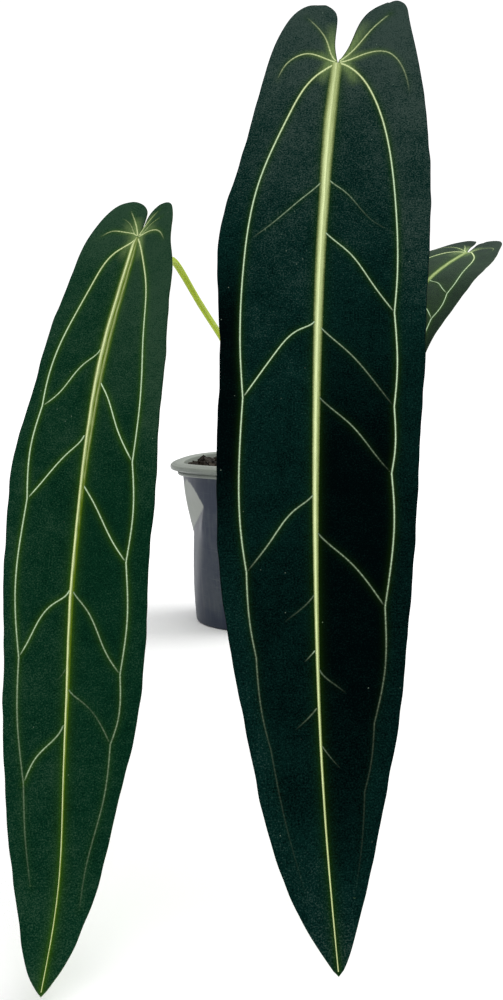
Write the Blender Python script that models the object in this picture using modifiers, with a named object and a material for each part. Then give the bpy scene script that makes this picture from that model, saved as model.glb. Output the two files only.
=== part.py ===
"""Queen anthurium with three long velvet leaves, rooted in bark mix in a small plastic nursery pot.

Metres, +Z up, the pot stands on the floor plane and its base centre is the origin.
The leaves reach forward, toward -Y. Lengths named _MM are millimetres, as a leaf is measured.
"""
import math
import random

import bmesh
import bpy
import numpy as np

MM = 0.001

# The pot, a 13 cm nursery pot
POT_HEIGHT = 0.1274
RIM_RADIUS = 0.0663
LIP_DEPTH = 0.0054
STEP_RADIUS = 0.0606
STEP_DEPTH = 0.0045
BODY_TOP_RADIUS = 0.0565
BASE_RADIUS = 0.0467
BASE_CORNER = 0.0014
WALL = 0.0016
FLOOR_THICKNESS = 0.0022
DRAIN_RADIUS = 0.0045
DRAIN_RING = 0.0315
DRAIN_COUNT = 6
DRAIN_TURN = 0.37
POT_SIDES = 60
BODY_ROWS = 12

# The two flat facets of the dent in the left wall: how far each is turned from -X toward -Y in degrees,
# its distance from the axis at a height, that height, and how fast it leans out as it rises
DENT_UPPER = (20.5, 0.0508, 0.097, 0.345)
DENT_LOWER = (9.0, 0.0445, 0.097, -0.075)
DENT_ROOM_IN_SOIL = 0.0014

# How far the rim sags over the dent, and the spread of the sag round the pot in degrees
RIM_SAG = 0.0022
RIM_SAG_SPREAD = 36.0
RIM_SAG_FOOT = 0.085

# The bark mix
SOIL_HEIGHT = 0.1144
SOIL_GAP = 0.0004
SOIL_LUMPS = 90
LUMP_HEIGHT = 0.0042
CROWN_HOLE_RADIUS = 0.0084
CROWN_HOLE_FLOOR = 0.084

# The crown of the plant
CROWN_RADIUS = 0.008
CROWN_TOP = 0.136
CROWN_FOOT = 0.0845
SHEATH_THICKNESS = 0.0008
SHEATH_HEIGHT = 0.034
ROOT_RADIUS = 0.0021

# The blades
BLADE_THICKNESS = 0.0007
RIB_HALF_WIDTH = 0.0022
RIB_FRONT = 0.0007
RIB_BACK = 0.0016
JOIN_GAP = 0.0004
STALK_ATTACH_MM = 2.5

# The leaf stalks
STALK_RADIUS = 0.0019
STALK_FOOT_RADIUS = 0.0029
KNUCKLE_RADIUS = 0.0026
KNUCKLE_LENGTH = 0.020

FRONT_LEAF = {
    "rows": 52,
    "spine_mm": (
        (36, -400, 353), (28, -434, 289.5), (23.5, -477, 208), (22, -521, 124), (24, -553, 56), (28, -578, 8),
    ),
    "turn": ((0, -8), (389, 0)),
    "fold": ((0, 8, 4), (100, 6, 4), (389, 4, 4)),
    "curl": ((0, 0.12, 0.06), (389, 0.06, 0.06)),
    "left_sinus": ((0, 0), (-1.9, -8), (-2.3, -20), (-4, -27.6), (-8.6, -30.8)),
    "left_margin": (
        (-8.6, -30.8), (-16, -30.8), (-22.2, -26.2), (-26.5, -18), (-29.8, -6), (-31.8, 8), (-37, 48),
        (-43.5, 92), (-40.5, 145), (-40, 198), (-35.7, 255), (-25, 317), (-10.8, 371), (-4.5, 382.5),
        (0, 390),
    ),
    "right_sinus": ((0, 0), (3.2, -6), (5.5, -13), (8, -21.5), (12, -28), (19.8, -33.3)),
    "right_margin": (
        (19.8, -33.3), (23.5, -35), (26.8, -33.8), (29.8, -26.8), (33.5, -11.5), (37.3, 4), (43.5, 37),
        (46.3, 75), (45.5, 125), (42.5, 180), (38.5, 232), (32, 287), (20, 339), (7.2, 376), (2.6, 386),
        (0, 390),
    ),
    "wave": (0.9, 74, 0.4),
    "quilt": (0.5, 38, 0.75),
}

LEFT_LEAF = {
    "rows": 48,
    "spine_mm": (
        (-57, -380, 276.5), (-71, -420, 224), (-77, -462, 163), (-77.5, -499, 106), (-76, -529, 61),
        (-74.7, -553, 31), (-76.5, -587, 5.5),
    ),
    "turn": ((0, -30), (60, -24), (140, -14), (345, -8)),
    "fold": ((0, 16, 16), (120, 10, 10), (345, 5, 5)),
    "curl": ((0, 0.12, 0.12), (345, 0.06, 0.06)),
    "left_sinus": ((0, 0), (0.7, -5), (1, -11), (0.3, -16), (-3.5, -20.5), (-10, -22.5)),
    "left_margin": (
        (-10, -22.5), (-14.6, -20.6), (-19.2, -15.1), (-22.6, -5), (-25.3, 9), (-26.2, 25), (-26.7, 50),
        (-28, 92), (-30.8, 130), (-28.5, 174), (-26.3, 209), (-24, 242), (-21.2, 277), (-16.3, 304),
        (-9.5, 328), (-4.5, 339.5), (0, 345),
    ),
    "right_sinus": ((0, 0), (1.5, -5), (2.1, -11), (4, -14.6), (7.5, -17.2)),
    "right_margin": (
        (7.5, -17.2), (12.2, -17.4), (15.6, -15.8), (18.2, -12), (21, -4.5), (23, 7.5), (27, 20),
        (31.5, 38), (35, 75), (35.8, 105), (35, 146), (33.3, 190), (31, 233), (26, 258), (19, 287),
        (10.8, 320), (4.8, 338), (0, 345),
    ),
    "wave": (0.8, 58, 1.1),
    "quilt": (0.45, 36, 0.8),
}

RIGHT_LEAF = {
    "rows": 36,
    "spine_mm": (
        (135.5, -160, 278.5), (105, -210, 260.5), (74, -255, 222), (57, -276, 178), (46, -285, 125),
        (41, -290, 88),
    ),
    "turn": ((0, -31), (273, -20)),
    "fold": ((0, 25, 10), (100, 25, 10), (273, 8, 8)),
    "curl": ((0, 0.8, 0.23), (273, 0.23, 0.23)),
    "left_sinus": ((0, 0), (-1.3, -6), (-2.5, -14), (-3, -22), (-4.2, -27.5)),
    "left_margin": (
        (-4.2, -27.5), (-7.5, -28), (-12, -24), (-17.5, -17), (-23, 0), (-27, 17), (-30, 40), (-30, 90),
        (-27, 135), (-23, 175), (-17, 213), (-9, 249), (0, 273),
    ),
    "right_sinus": ((0, 0), (-0.2, -5), (-1, -16), (-1.2, -26), (0.8, -33.3)),
    "right_margin": (
        (0.8, -33.3), (4.8, -35), (9, -33.7), (13.3, -28), (18.5, -14), (22.7, 0.6), (28, 25), (30.5, 48),
        (30, 90), (27, 132), (23, 175), (17, 213), (9, 249), (0, 273),
    ),
    "wave": (0.6, 60, 0.0),
    "quilt": (0.4, 32, 0.8),
}

# Where each stalk leaves the crown and the points it passes, in millimetres
FRONT_STALK_MM = ((3.6, -3.8, 0), (7, -18, 185), (13, -86, 258), (21, -188, 308), (29, -300, 334))
LEFT_STALK_MM = (
    (-5, -1, 0), (-8, -24, 163), (-13.5, -95, 195), (-22, -170, 224), (-36.2, -250, 251.5), (-45.3, -290, 268.4),
)
RIGHT_STALK_MM = ((3.2, 4.2, 0), (10, -1, 170), (40, -32, 208), (85, -83, 236), (122, -130, 252))

# Columns across half a blade: fraction of the way from midline to margin
COLUMNS = (0.0, 0.05, 0.13, 0.3, 0.5, 0.72, 0.88, 1.0)


def remove_everything():
    for item in list(bpy.data.objects):
        bpy.data.objects.remove(item, do_unlink=True)


def make_collection(name):
    group = bpy.data.collections.new(name)
    bpy.context.scene.collection.children.link(group)
    return group


def plain_material(name, colour, roughness):
    material = bpy.data.materials.new(name)
    material.use_nodes = True
    shader = material.node_tree.nodes["Principled BSDF"]
    shader.inputs["Base Color"].default_value = (*colour, 1.0)
    shader.inputs["Roughness"].default_value = roughness
    material.diffuse_color = (*colour, 1.0)
    return material


def object_from_mesh(mesh, name, group, material):
    item = bpy.data.objects.new(name, mesh)
    group.objects.link(item)
    mesh.materials.clear()
    mesh.materials.append(material)
    return item


def bake(item, group):
    """Replace an object by the mesh that its modifiers give."""
    graph = bpy.context.evaluated_depsgraph_get()
    mesh = bpy.data.meshes.new_from_object(item.evaluated_get(graph))
    name = item.name
    bpy.data.objects.remove(item, do_unlink=True)
    mesh.name = name
    result = bpy.data.objects.new(name, mesh)
    group.objects.link(result)
    return result


def face_outward(work):
    bmesh.ops.recalc_face_normals(work, faces=work.faces)
    if work.calc_volume(signed=True) < 0:
        bmesh.ops.reverse_faces(work, faces=work.faces)


def clean(item, distance=1e-6):
    work = bmesh.new()
    work.from_mesh(item.data)
    bmesh.ops.remove_doubles(work, verts=work.verts, dist=distance)
    bmesh.ops.dissolve_degenerate(work, edges=work.edges, dist=distance)
    face_outward(work)
    work.to_mesh(item.data)
    work.free()


def combine(item, cutter, operation, solver="EXACT"):
    boolean = item.modifiers.new(operation.lower(), "BOOLEAN")
    boolean.operation = operation
    boolean.solver = solver
    boolean.object = cutter


class Curve:
    """Natural cubic curve through a few points, with linear ends."""

    def __init__(self, knots, values):
        self.knots = np.asarray(knots, dtype=float)
        self.values = np.asarray(values, dtype=float)
        if self.values.ndim == 1:
            self.values = self.values[:, None]
        count = len(self.knots)
        self.gaps = np.diff(self.knots)
        matrix = np.eye(count)
        right = np.zeros_like(self.values)
        for i in range(1, count - 1):
            matrix[i, i - 1] = self.gaps[i - 1]
            matrix[i, i] = 2 * (self.gaps[i - 1] + self.gaps[i])
            matrix[i, i + 1] = self.gaps[i]
            ahead = (self.values[i + 1] - self.values[i]) / self.gaps[i]
            behind = (self.values[i] - self.values[i - 1]) / self.gaps[i - 1]
            right[i] = 6 * (ahead - behind)
        self.bends = np.linalg.solve(matrix, right)

    def __call__(self, where):
        where = np.clip(np.atleast_1d(where), self.knots[0], self.knots[-1])
        i = np.clip(np.searchsorted(self.knots, where) - 1, 0, len(self.knots) - 2)
        gap = self.gaps[i][:, None]
        a = (self.knots[i + 1] - where)[:, None]
        b = (where - self.knots[i])[:, None]
        low = self.values[i] / gap - self.bends[i] * gap / 6
        high = self.values[i + 1] / gap - self.bends[i + 1] * gap / 6
        cubic = (self.bends[i] * a ** 3 + self.bends[i + 1] * b ** 3) / (6 * gap)
        return cubic + low * a + high * b


def through(points):
    """A curve through points, by the distance along them, and its length."""
    points = np.asarray(points, dtype=float)
    steps = np.linalg.norm(np.diff(points, axis=0), axis=1)
    knots = np.concatenate([[0.0], np.cumsum(steps)])
    return Curve(knots, points), knots[-1]


def unit(vectors):
    return vectors / np.linalg.norm(vectors, axis=-1, keepdims=True)


def smooth(value):
    value = np.clip(value, 0.0, 1.0)
    return value * value * (3 - 2 * value)


class Blade:
    """Maps the flat leaf, x across and y from the stalk toward the tip in millimetres, into space."""

    def __init__(self, leaf):
        self.leaf = leaf
        self.spine, self.length = through(leaf["spine_mm"])
        self.turn = self.along(leaf["turn"])
        self.fold = self.along(leaf["fold"])
        self.curl = self.along(leaf["curl"])
        self.halves = {}
        for side in ("left", "right"):
            inner, inner_length = through(leaf[side + "_sinus"])
            outer, outer_length = through(leaf[side + "_margin"])
            self.halves[side] = (inner, inner_length, outer, outer_length)

    def along(self, table):
        scale = self.length / table[-1][0]
        return Curve([row[0] * scale for row in table], [row[1:] for row in table])

    def frame(self, y):
        inside = np.clip(y, 0.0, self.length)
        start = np.clip(inside, 0.0, self.length - 0.2)
        ahead = unit(self.spine(start + 0.2) - self.spine(start))
        place = self.spine(inside) + ahead * (y - inside)[:, None]
        angle = np.radians(self.turn(inside)[:, 0])
        across = np.stack([np.cos(angle), np.sin(angle), np.zeros_like(angle)], axis=-1)
        across = unit(across - ahead * np.sum(across * ahead, axis=-1, keepdims=True))
        return place, ahead, across, np.cross(ahead, across)

    def half_width(self, x, y):
        left = self.halves["left"][2](np.linspace(0, self.halves["left"][3], 160))
        right = self.halves["right"][2](np.linspace(0, self.halves["right"][3], 160))
        left_width = np.interp(y, left[:, 1], -left[:, 0])
        right_width = np.interp(y, right[:, 1], right[:, 0])
        return np.maximum(np.where(x > 0, right_width, left_width), 4.0)

    def relief(self, x, y):
        """Waves at the margin and the quilted swell between the side veins."""
        reach = np.clip(np.abs(x) / self.half_width(x, y), 0.0, 1.0)
        height, length, phase = self.leaf["wave"]
        side = np.where(x > 0, 1.3, 0.0)
        waves = height * reach ** 2 * np.sin(2 * math.pi * y / length + phase + side)
        depth, spacing, slope = self.leaf["quilt"]
        beat = np.cos(math.pi * (y - slope * np.abs(x)) / spacing) ** 2
        swell = depth * beat * np.sin(math.pi * np.clip(reach / 0.75, 0.0, 1.0))
        return waves + swell

    def rib(self, x, y, height, start):
        fade = smooth((y - start) / 8.0) * (1.0 - 0.85 * np.clip(y / self.length, 0.0, 1.0))
        width = RIB_HALF_WIDTH / MM * (1.0 - 0.6 * np.clip(y / self.length, 0.0, 1.0))
        return height / MM * fade * np.exp(-(x / width) ** 2)

    def place(self, x, y):
        """Point of the upper face, and the direction out of it, for flat points in millimetres."""
        x = np.atleast_1d(np.asarray(x, dtype=float))
        y = np.atleast_1d(np.asarray(y, dtype=float))
        centre, ahead, across, up = self.frame(y)
        inside = np.clip(y, 0.0, self.length)
        column = np.where(x > 0, 1, 0)
        rows = np.arange(len(x))
        fold = np.radians(self.fold(inside)[rows, column])
        curl = np.radians(self.curl(inside)[rows, column])
        reach = np.abs(x)
        lean = fold - curl * reach
        out = np.sign(x) * reach * np.cos(lean)
        lift = reach * np.sin(lean)
        tilt = fold - 2 * curl * reach
        tilt_side = np.sign(x) * np.sin(tilt)
        normal = unit(up * np.cos(tilt)[:, None] - across * tilt_side[:, None])
        point = centre + across * out[:, None] + up * lift[:, None]
        return point + normal * self.relief(x, y)[:, None], normal

    def faces_at(self, x, y):
        """Upper and lower face points in metres."""
        x = np.asarray(x, dtype=float)
        y = np.asarray(y, dtype=float)
        point, normal = self.place(x, y)
        upper = point + normal * self.rib(x, y, RIB_FRONT, -4.0)[:, None]
        under = BLADE_THICKNESS / MM + self.rib(x, y, RIB_BACK, 4.0)
        lower = point - normal * under[:, None]
        return upper * MM, lower * MM, normal

    def flat_half(self, side, rows, columns):
        """Flat points of one half, as rows from the tip to the top of the lobe."""
        inner, inner_length, outer, outer_length = self.halves[side]
        fine = np.linspace(0, outer_length, 900)
        margin = outer(fine)
        shoulder = 12.0
        body_rows = int(rows * 0.82)
        lobe_rows = rows - body_rows
        main = np.where(fine > outer_length * 0.12)[0]
        levels = self.length - (self.length - shoulder) * np.linspace(0, 1, body_rows + 1) ** 0.93
        order = main[np.argsort(margin[main, 1])]
        inner_points = [(0.0, level) for level in levels]
        outer_points = []
        for level in levels:
            at = np.interp(level, margin[order, 1], fine[order])
            outer_points.append(tuple(outer(at)[0]))
        outer_points[0] = (0.0, self.length)
        start = np.interp(shoulder, margin[order, 1], fine[order])
        inner_total = shoulder + inner_length
        for step in range(1, lobe_rows + 1):
            share = step / lobe_rows
            gone = inner_total * share
            if gone < shoulder:
                inner_points.append((0.0, shoulder - gone))
            else:
                inner_points.append(tuple(inner(gone - shoulder)[0]))
            outer_points.append(tuple(outer(start * (1 - share))[0]))
        inner_points[-1] = outer_points[-1]
        inside = np.array(inner_points)[:, None, :]
        outside = np.array(outer_points)[:, None, :]
        share = np.asarray(columns)[None, :, None]
        return inside * (1 - share) + outside * share


def blade_sheet(blade, rows, columns):
    """Open triangulated sheet of the upper face, with the flat point of each corner."""
    work = bmesh.new()
    flat = {}
    for side in ("left", "right"):
        points = blade.flat_half(side, rows, columns)
        tall, wide = points.shape[0] - 1, points.shape[1] - 1
        made = bmesh.ops.create_grid(work, x_segments=wide, y_segments=tall, size=1.0)["verts"]
        for corner in made:
            across = round((corner.co.x + 1) / 2 * wide)
            down = round((corner.co.y + 1) / 2 * tall)
            x, y = points[down, across]
            corner.co = (x * MM, y * MM, 0.0)
    bmesh.ops.remove_doubles(work, verts=work.verts, dist=0.02 * MM)
    bmesh.ops.dissolve_degenerate(work, edges=work.edges, dist=0.005 * MM)
    bmesh.ops.triangulate(work, faces=work.faces, quad_method="FIXED")
    bmesh.ops.recalc_face_normals(work, faces=work.faces)
    total = sum(face.normal.z for face in work.faces)
    if total < 0:
        bmesh.ops.reverse_faces(work, faces=work.faces)
    return work


def make_blade(name, leaf, group, material):
    blade = Blade(leaf)
    work = blade_sheet(blade, leaf["rows"], COLUMNS)
    bottom = list(work.verts)
    raised = bmesh.ops.extrude_face_region(work, geom=list(work.faces))["geom"]
    top = [item for item in raised if isinstance(item, bmesh.types.BMVert)]
    flat_bottom = np.array([corner.co[:2] for corner in bottom]) / MM
    flat_top = np.array([corner.co[:2] for corner in top]) / MM
    _, lower, _ = blade.faces_at(flat_bottom[:, 0], flat_bottom[:, 1])
    upper, _, _ = blade.faces_at(flat_top[:, 0], flat_top[:, 1])
    for corner, place in zip(bottom, lower):
        corner.co = place
    for corner, place in zip(top, upper):
        corner.co = place
    face_outward(work)
    mesh = bpy.data.meshes.new(name)
    work.to_mesh(mesh)
    work.free()
    return object_from_mesh(mesh, name, group, material)


def stalk_path(leaf, way_mm):
    """Points of a stalk from the crown to the back of its blade, in metres."""
    blade = Blade(leaf)
    _, lower, normal = blade.faces_at([0.0], [STALK_ATTACH_MM])
    end = lower[0] - normal[0] * JOIN_GAP
    before = end - normal[0] * 0.004
    approach = end - normal[0] * 0.009
    foot = np.array((way_mm[0][0] * MM, way_mm[0][1] * MM, CROWN_TOP + JOIN_GAP))
    rise = foot + np.array((0.0, 0.0, 0.012))
    middle = [np.array(point) * MM for point in way_mm[1:]]
    curve, length = through([foot, rise, *middle, approach, before, end])
    return curve, length


def tube_object(name, points, radii, group, material, resolution=4):
    data = bpy.data.curves.new(name, "CURVE")
    data.dimensions = "3D"
    data.bevel_depth = 1.0
    data.bevel_resolution = resolution
    data.use_fill_caps = True
    spline = data.splines.new("POLY")
    spline.points.add(len(points) - 1)
    for point, place, radius in zip(spline.points, points, radii):
        point.co = (*place, 1.0)
        point.radius = radius
    item = bpy.data.objects.new(name, data)
    group.objects.link(item)
    graph = bpy.context.evaluated_depsgraph_get()
    mesh = bpy.data.meshes.new_from_object(item.evaluated_get(graph))
    bpy.data.objects.remove(item, do_unlink=True)
    mesh.name = name
    result = object_from_mesh(mesh, name, group, material)
    clean(result)
    return result


def make_stalk(name, leaf, way_mm, group, material):
    curve, length = stalk_path(leaf, way_mm)
    body = np.linspace(0, length - KNUCKLE_LENGTH, 24)
    knuckle = np.linspace(length - KNUCKLE_LENGTH, length, 7)[1:]
    places = np.concatenate([body, knuckle])
    radii = []
    for at in places:
        foot = 1 - smooth(at / 0.035)
        swell = math.sin(math.pi * min(max((at - length + KNUCKLE_LENGTH) / KNUCKLE_LENGTH, 0.0), 1.0))
        radius = STALK_RADIUS + (STALK_FOOT_RADIUS - STALK_RADIUS) * float(foot)
        radii.append(radius + (KNUCKLE_RADIUS - STALK_RADIUS) * swell)
    item = tube_object(name, curve(places), radii, group, material)
    for polygon in item.data.polygons:
        polygon.use_smooth = True
    return item


def facet_reach(facet, angle, z, inset):
    """Distance from the axis to a facet of the dent, set inward by some depth."""
    turn, distance, height, lean = facet
    facing = math.cos(angle - math.pi - math.radians(turn))
    if facing < 0.4:
        return 1.0
    return (distance + lean * (z - height) - inset) / facing


def rim_sag(angle, z):
    """How far the wall and rim hang down over the dent, fading toward the foot of the sag."""
    away = math.degrees(abs(math.remainder(angle - math.pi, 2 * math.pi))) / RIM_SAG_SPREAD
    share = (z - RIM_SAG_FOOT) / (POT_HEIGHT - LIP_DEPTH - STEP_DEPTH - RIM_SAG_FOOT)
    return RIM_SAG * math.exp(-away * away) * float(smooth(share))


def press_dent(item, sags, room=0.0):
    """Press the wall in to the facets of the dent; each skin keeps its depth behind the outer face."""
    for corner in item.data.vertices:
        x, y, z = corner.co
        radius = math.hypot(x, y)
        if radius < 0.7 * BASE_RADIUS:
            continue
        angle = math.atan2(y, x)
        inset = max(0.0, wall_radius(z) - radius) + room
        if sags:
            corner.co.z = z - rim_sag(angle, z)
        if z > POT_HEIGHT - LIP_DEPTH - STEP_DEPTH:
            continue
        z = corner.co.z
        facets = max(facet_reach(DENT_UPPER, angle, z, inset), facet_reach(DENT_LOWER, angle, z, inset))
        pressed = min(radius, facets)
        corner.co.x = x * pressed / radius
        corner.co.y = y * pressed / radius


def wall_levels():
    """Heights of the rows of the wall, top to bottom."""
    top = POT_HEIGHT - LIP_DEPTH - STEP_DEPTH
    return [top + (BASE_CORNER - top) * row / BODY_ROWS for row in range(BODY_ROWS + 1)]


def wall_radius(z):
    share = (z - BASE_CORNER) / (POT_HEIGHT - LIP_DEPTH - STEP_DEPTH - BASE_CORNER)
    return BASE_RADIUS + (BODY_TOP_RADIUS - BASE_RADIUS) * min(max(share, 0.0), 1.0)


def spin(name, profile, group, material, sides):
    """Solid of revolution from an (radius, height) profile, by Screw."""
    mesh = bpy.data.meshes.new(name)
    edges = [(i, i + 1) for i in range(len(profile) - 1)]
    mesh.from_pydata([(radius, 0.0, height) for radius, height in profile], edges, [])
    item = object_from_mesh(mesh, name, group, material)
    screw = item.modifiers.new("spin", "SCREW")
    screw.axis = "Z"
    screw.angle = 2 * math.pi
    screw.steps = sides
    screw.render_steps = sides
    screw.use_merge_vertices = True
    screw.merge_threshold = 0.00005
    screw.use_normal_calculate = True
    result = bake(item, group)
    result.data.materials.clear()
    result.data.materials.append(material)
    clean(result)
    return result


def pot_profile():
    top_of_body = POT_HEIGHT - LIP_DEPTH - STEP_DEPTH
    outer = [
        (BODY_TOP_RADIUS - 0.0012, POT_HEIGHT - 0.0014),
        (BODY_TOP_RADIUS, POT_HEIGHT - 0.0002),
        (BODY_TOP_RADIUS + 0.003, POT_HEIGHT),
        (RIM_RADIUS - 0.003, POT_HEIGHT - 0.0003),
        (RIM_RADIUS - 0.0009, POT_HEIGHT - 0.0013),
        (RIM_RADIUS, POT_HEIGHT - 0.0027),
        (RIM_RADIUS, POT_HEIGHT - 0.0042),
        (RIM_RADIUS - 0.0012, POT_HEIGHT - LIP_DEPTH),
        (STEP_RADIUS, POT_HEIGHT - LIP_DEPTH),
        (STEP_RADIUS, top_of_body + 0.0008),
        (BODY_TOP_RADIUS, top_of_body),
    ]
    for height in wall_levels()[1:]:
        outer.append((wall_radius(height), height))
    outer += [
        (BASE_RADIUS - 0.0004, 0.0004),
        (BASE_RADIUS - BASE_CORNER, 0.0),
        (0.0, 0.0),
        (0.0, FLOOR_THICKNESS),
        (BASE_RADIUS - WALL - 0.0012, FLOOR_THICKNESS),
    ]
    for height in reversed(wall_levels()):
        outer.append((wall_radius(height) - WALL, max(height, FLOOR_THICKNESS + 0.0008)))
    outer.append(outer[0])
    return outer


def make_pot(group, cutters, material):
    item = spin("pot", pot_profile(), group, material, POT_SIDES)
    press_dent(item, sags=True)
    clean(item)
    for index in range(DRAIN_COUNT):
        angle = 2 * math.pi * index / DRAIN_COUNT + DRAIN_TURN
        place = (DRAIN_RING * math.cos(angle), DRAIN_RING * math.sin(angle), 0.0)
        work = bmesh.new()
        bmesh.ops.create_cone(
            work, cap_ends=True, segments=12, radius1=DRAIN_RADIUS, radius2=DRAIN_RADIUS, depth=0.02
        )
        mesh = bpy.data.meshes.new("drain_cutter")
        work.to_mesh(mesh)
        work.free()
        cutter = object_from_mesh(mesh, "drain_cutter_%d" % index, cutters, material)
        cutter.location = place
        cutter.hide_render = True
        cutter.display_type = "WIRE"
        combine(item, cutter, "DIFFERENCE")
    bpy.context.view_layer.update()
    result = bake(item, group)
    clean(result)
    for polygon in result.data.polygons:
        polygon.use_smooth = True
    return result


def soil_relief(x, y, lumps):
    height = 0.0
    for centre_x, centre_y, radius, lift in lumps:
        away = math.hypot(x - centre_x, y - centre_y) / radius
        if away < 1:
            height = max(height, lift * math.sqrt(1 - away * away))
    return height


def make_soil(group, cutters, material):
    dice = random.Random(11)
    lumps = []
    for _ in range(SOIL_LUMPS):
        angle = dice.uniform(0, 2 * math.pi)
        radius = 0.05 * math.sqrt(dice.random())
        size = dice.uniform(0.005, 0.009)
        lift = dice.uniform(0.4, 1.0) * LUMP_HEIGHT
        lumps.append((radius * math.cos(angle), radius * math.sin(angle), size, lift))
    edge = wall_radius(SOIL_HEIGHT) - WALL - SOIL_GAP
    profile = [(0.0, SOIL_HEIGHT)]
    rings = 11
    for ring in range(1, rings + 1):
        profile.append((edge * ring / rings, SOIL_HEIGHT))
    foot = FLOOR_THICKNESS + SOIL_GAP
    for height in wall_levels()[1:-1]:
        profile.append((wall_radius(height) - WALL - SOIL_GAP, height))
    profile.append((wall_radius(foot) - WALL - SOIL_GAP - 0.0014, foot))
    profile.append((0.0, foot))
    item = spin("soil", profile, group, material, POT_SIDES)
    press_dent(item, sags=False, room=DENT_ROOM_IN_SOIL)
    for corner in item.data.vertices:
        if corner.co.z > SOIL_HEIGHT - 0.0001:
            radius = math.hypot(corner.co.x, corner.co.y)
            if radius < edge * 0.97:
                fade = 1.0 if radius > CROWN_HOLE_RADIUS + 0.002 else 0.3
                corner.co.z += fade * soil_relief(corner.co.x, corner.co.y, lumps)
    work = bmesh.new()
    bmesh.ops.create_cone(
        work, cap_ends=True, segments=24, radius1=CROWN_HOLE_RADIUS, radius2=CROWN_HOLE_RADIUS, depth=0.06
    )
    mesh = bpy.data.meshes.new("crown_cutter")
    work.to_mesh(mesh)
    work.free()
    cutter = object_from_mesh(mesh, "crown_cutter", cutters, material)
    cutter.location = (0.0, 0.0, CROWN_HOLE_FLOOR + 0.03)
    cutter.hide_render = True
    cutter.display_type = "WIRE"
    combine(item, cutter, "DIFFERENCE")
    bpy.context.view_layer.update()
    result = bake(item, group)
    clean(result)
    return result


def sheath(name, angle, height, group, material):
    """Thin pointed scale that wraps part of the crown."""
    work = bmesh.new()
    made = bmesh.ops.create_grid(work, x_segments=8, y_segments=7, size=1.0)["verts"]
    for corner in made:
        across = corner.co.x
        up = (corner.co.y + 1) / 2
        narrow = 1 - up ** 1.8
        turn = angle + across * narrow * 1.15
        radius = CROWN_RADIUS + 0.0013 + 0.0035 * up ** 2
        corner.co = (radius * math.cos(turn), radius * math.sin(turn), CROWN_TOP - 0.014 + height * up)
    bmesh.ops.remove_doubles(work, verts=work.verts, dist=0.00002)
    bmesh.ops.triangulate(work, faces=work.faces)
    bmesh.ops.recalc_face_normals(work, faces=work.faces)
    mesh = bpy.data.meshes.new(name)
    work.to_mesh(mesh)
    work.free()
    item = object_from_mesh(mesh, name, group, material)
    thick = item.modifiers.new("thickness", "SOLIDIFY")
    thick.thickness = SHEATH_THICKNESS
    thick.offset = 0.0
    result = bake(item, group)
    clean(result)
    return result


def make_stem(group, cutters, material):
    profile = [
        (0.0, CROWN_TOP),
        (CROWN_RADIUS + 0.0018, CROWN_TOP),
        (CROWN_RADIUS + 0.0022, CROWN_TOP - 0.002),
        (CROWN_RADIUS + 0.0008, CROWN_TOP - 0.008),
        (CROWN_RADIUS + 0.0011, CROWN_TOP - 0.011),
        (CROWN_RADIUS, CROWN_TOP - 0.014),
        (CROWN_RADIUS, CROWN_FOOT + 0.002),
        (CROWN_RADIUS - 0.002, CROWN_FOOT),
        (0.0, CROWN_FOOT),
    ]
    item = spin("stem", profile, group, material, 24)
    pieces = []
    for index, (turn, share) in enumerate(((-0.9, 1.0), (1.3, 0.8), (3.3, 0.9))):
        pieces.append(sheath("sheath_%d" % index, turn, SHEATH_HEIGHT * share, cutters, material))
    for index, turn in enumerate((0.5, 2.4, 4.3)):
        side = np.array((math.cos(turn), math.sin(turn), 0.0))
        start = side * (CROWN_RADIUS - 0.003) + np.array((0, 0, CROWN_TOP - 0.006))
        middle = side * (CROWN_RADIUS + 0.005) + np.array((0, 0, CROWN_TOP - 0.008))
        end = side * (CROWN_RADIUS + 0.009) + np.array((0, 0, CROWN_TOP - 0.014))
        curve, length = through([start, middle, end])
        places = np.linspace(0, length, 7)
        radii = [ROOT_RADIUS * (1 - 0.35 * (at / length) ** 3) for at in places]
        pieces.append(tube_object("root_%d" % index, curve(places), radii, cutters, material, 3))
    for piece in pieces:
        piece.hide_render = True
        piece.display_type = "WIRE"
        combine(item, piece, "UNION")
    bpy.context.view_layer.update()
    result = bake(item, group)
    clean(result)
    return result


def main():
    remove_everything()
    group = make_collection("queen_anthurium")
    cutters = make_collection("cutters")
    pot_material = plain_material("grey_plastic", (0.06, 0.07, 0.09), 0.45)
    soil_material = plain_material("bark_mix", (0.03, 0.02, 0.015), 0.95)
    stem_material = plain_material("crown_tissue", (0.12, 0.16, 0.05), 0.6)
    make_pot(group, cutters, pot_material)
    make_soil(group, cutters, soil_material)
    make_stem(group, cutters, stem_material)
    leaves = (
        ("leaf_front", FRONT_LEAF, FRONT_STALK_MM),
        ("leaf_left", LEFT_LEAF, LEFT_STALK_MM),
        ("leaf_right", RIGHT_LEAF, RIGHT_STALK_MM),
    )
    for name, leaf, way in leaves:
        green = plain_material(name + "_velvet", (0.008, 0.035, 0.025), 0.6)
        stalk_green = plain_material(name + "_stalk_green", (0.2, 0.28, 0.04), 0.5)
        make_blade(name + "_blade", leaf, group, green)
        make_stalk(name + "_petiole", leaf, way, group, stalk_green)


main()
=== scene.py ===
"""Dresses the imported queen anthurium: three velvet leaves, their stalks, the crown, the bark mix and the pot.

Metres, +Z up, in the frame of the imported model. A leaf is laid out flat first, x across the blade and y from
its stalk toward the tip, and lengths named _MM or kept in the leaf tables are millimetres.
"""
import math
import random

import bmesh
import bpy
import numpy as np
from bpy.props import EnumProperty, FloatProperty, FloatVectorProperty, IntProperty, PointerProperty
from mathutils import Matrix, Vector


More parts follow.
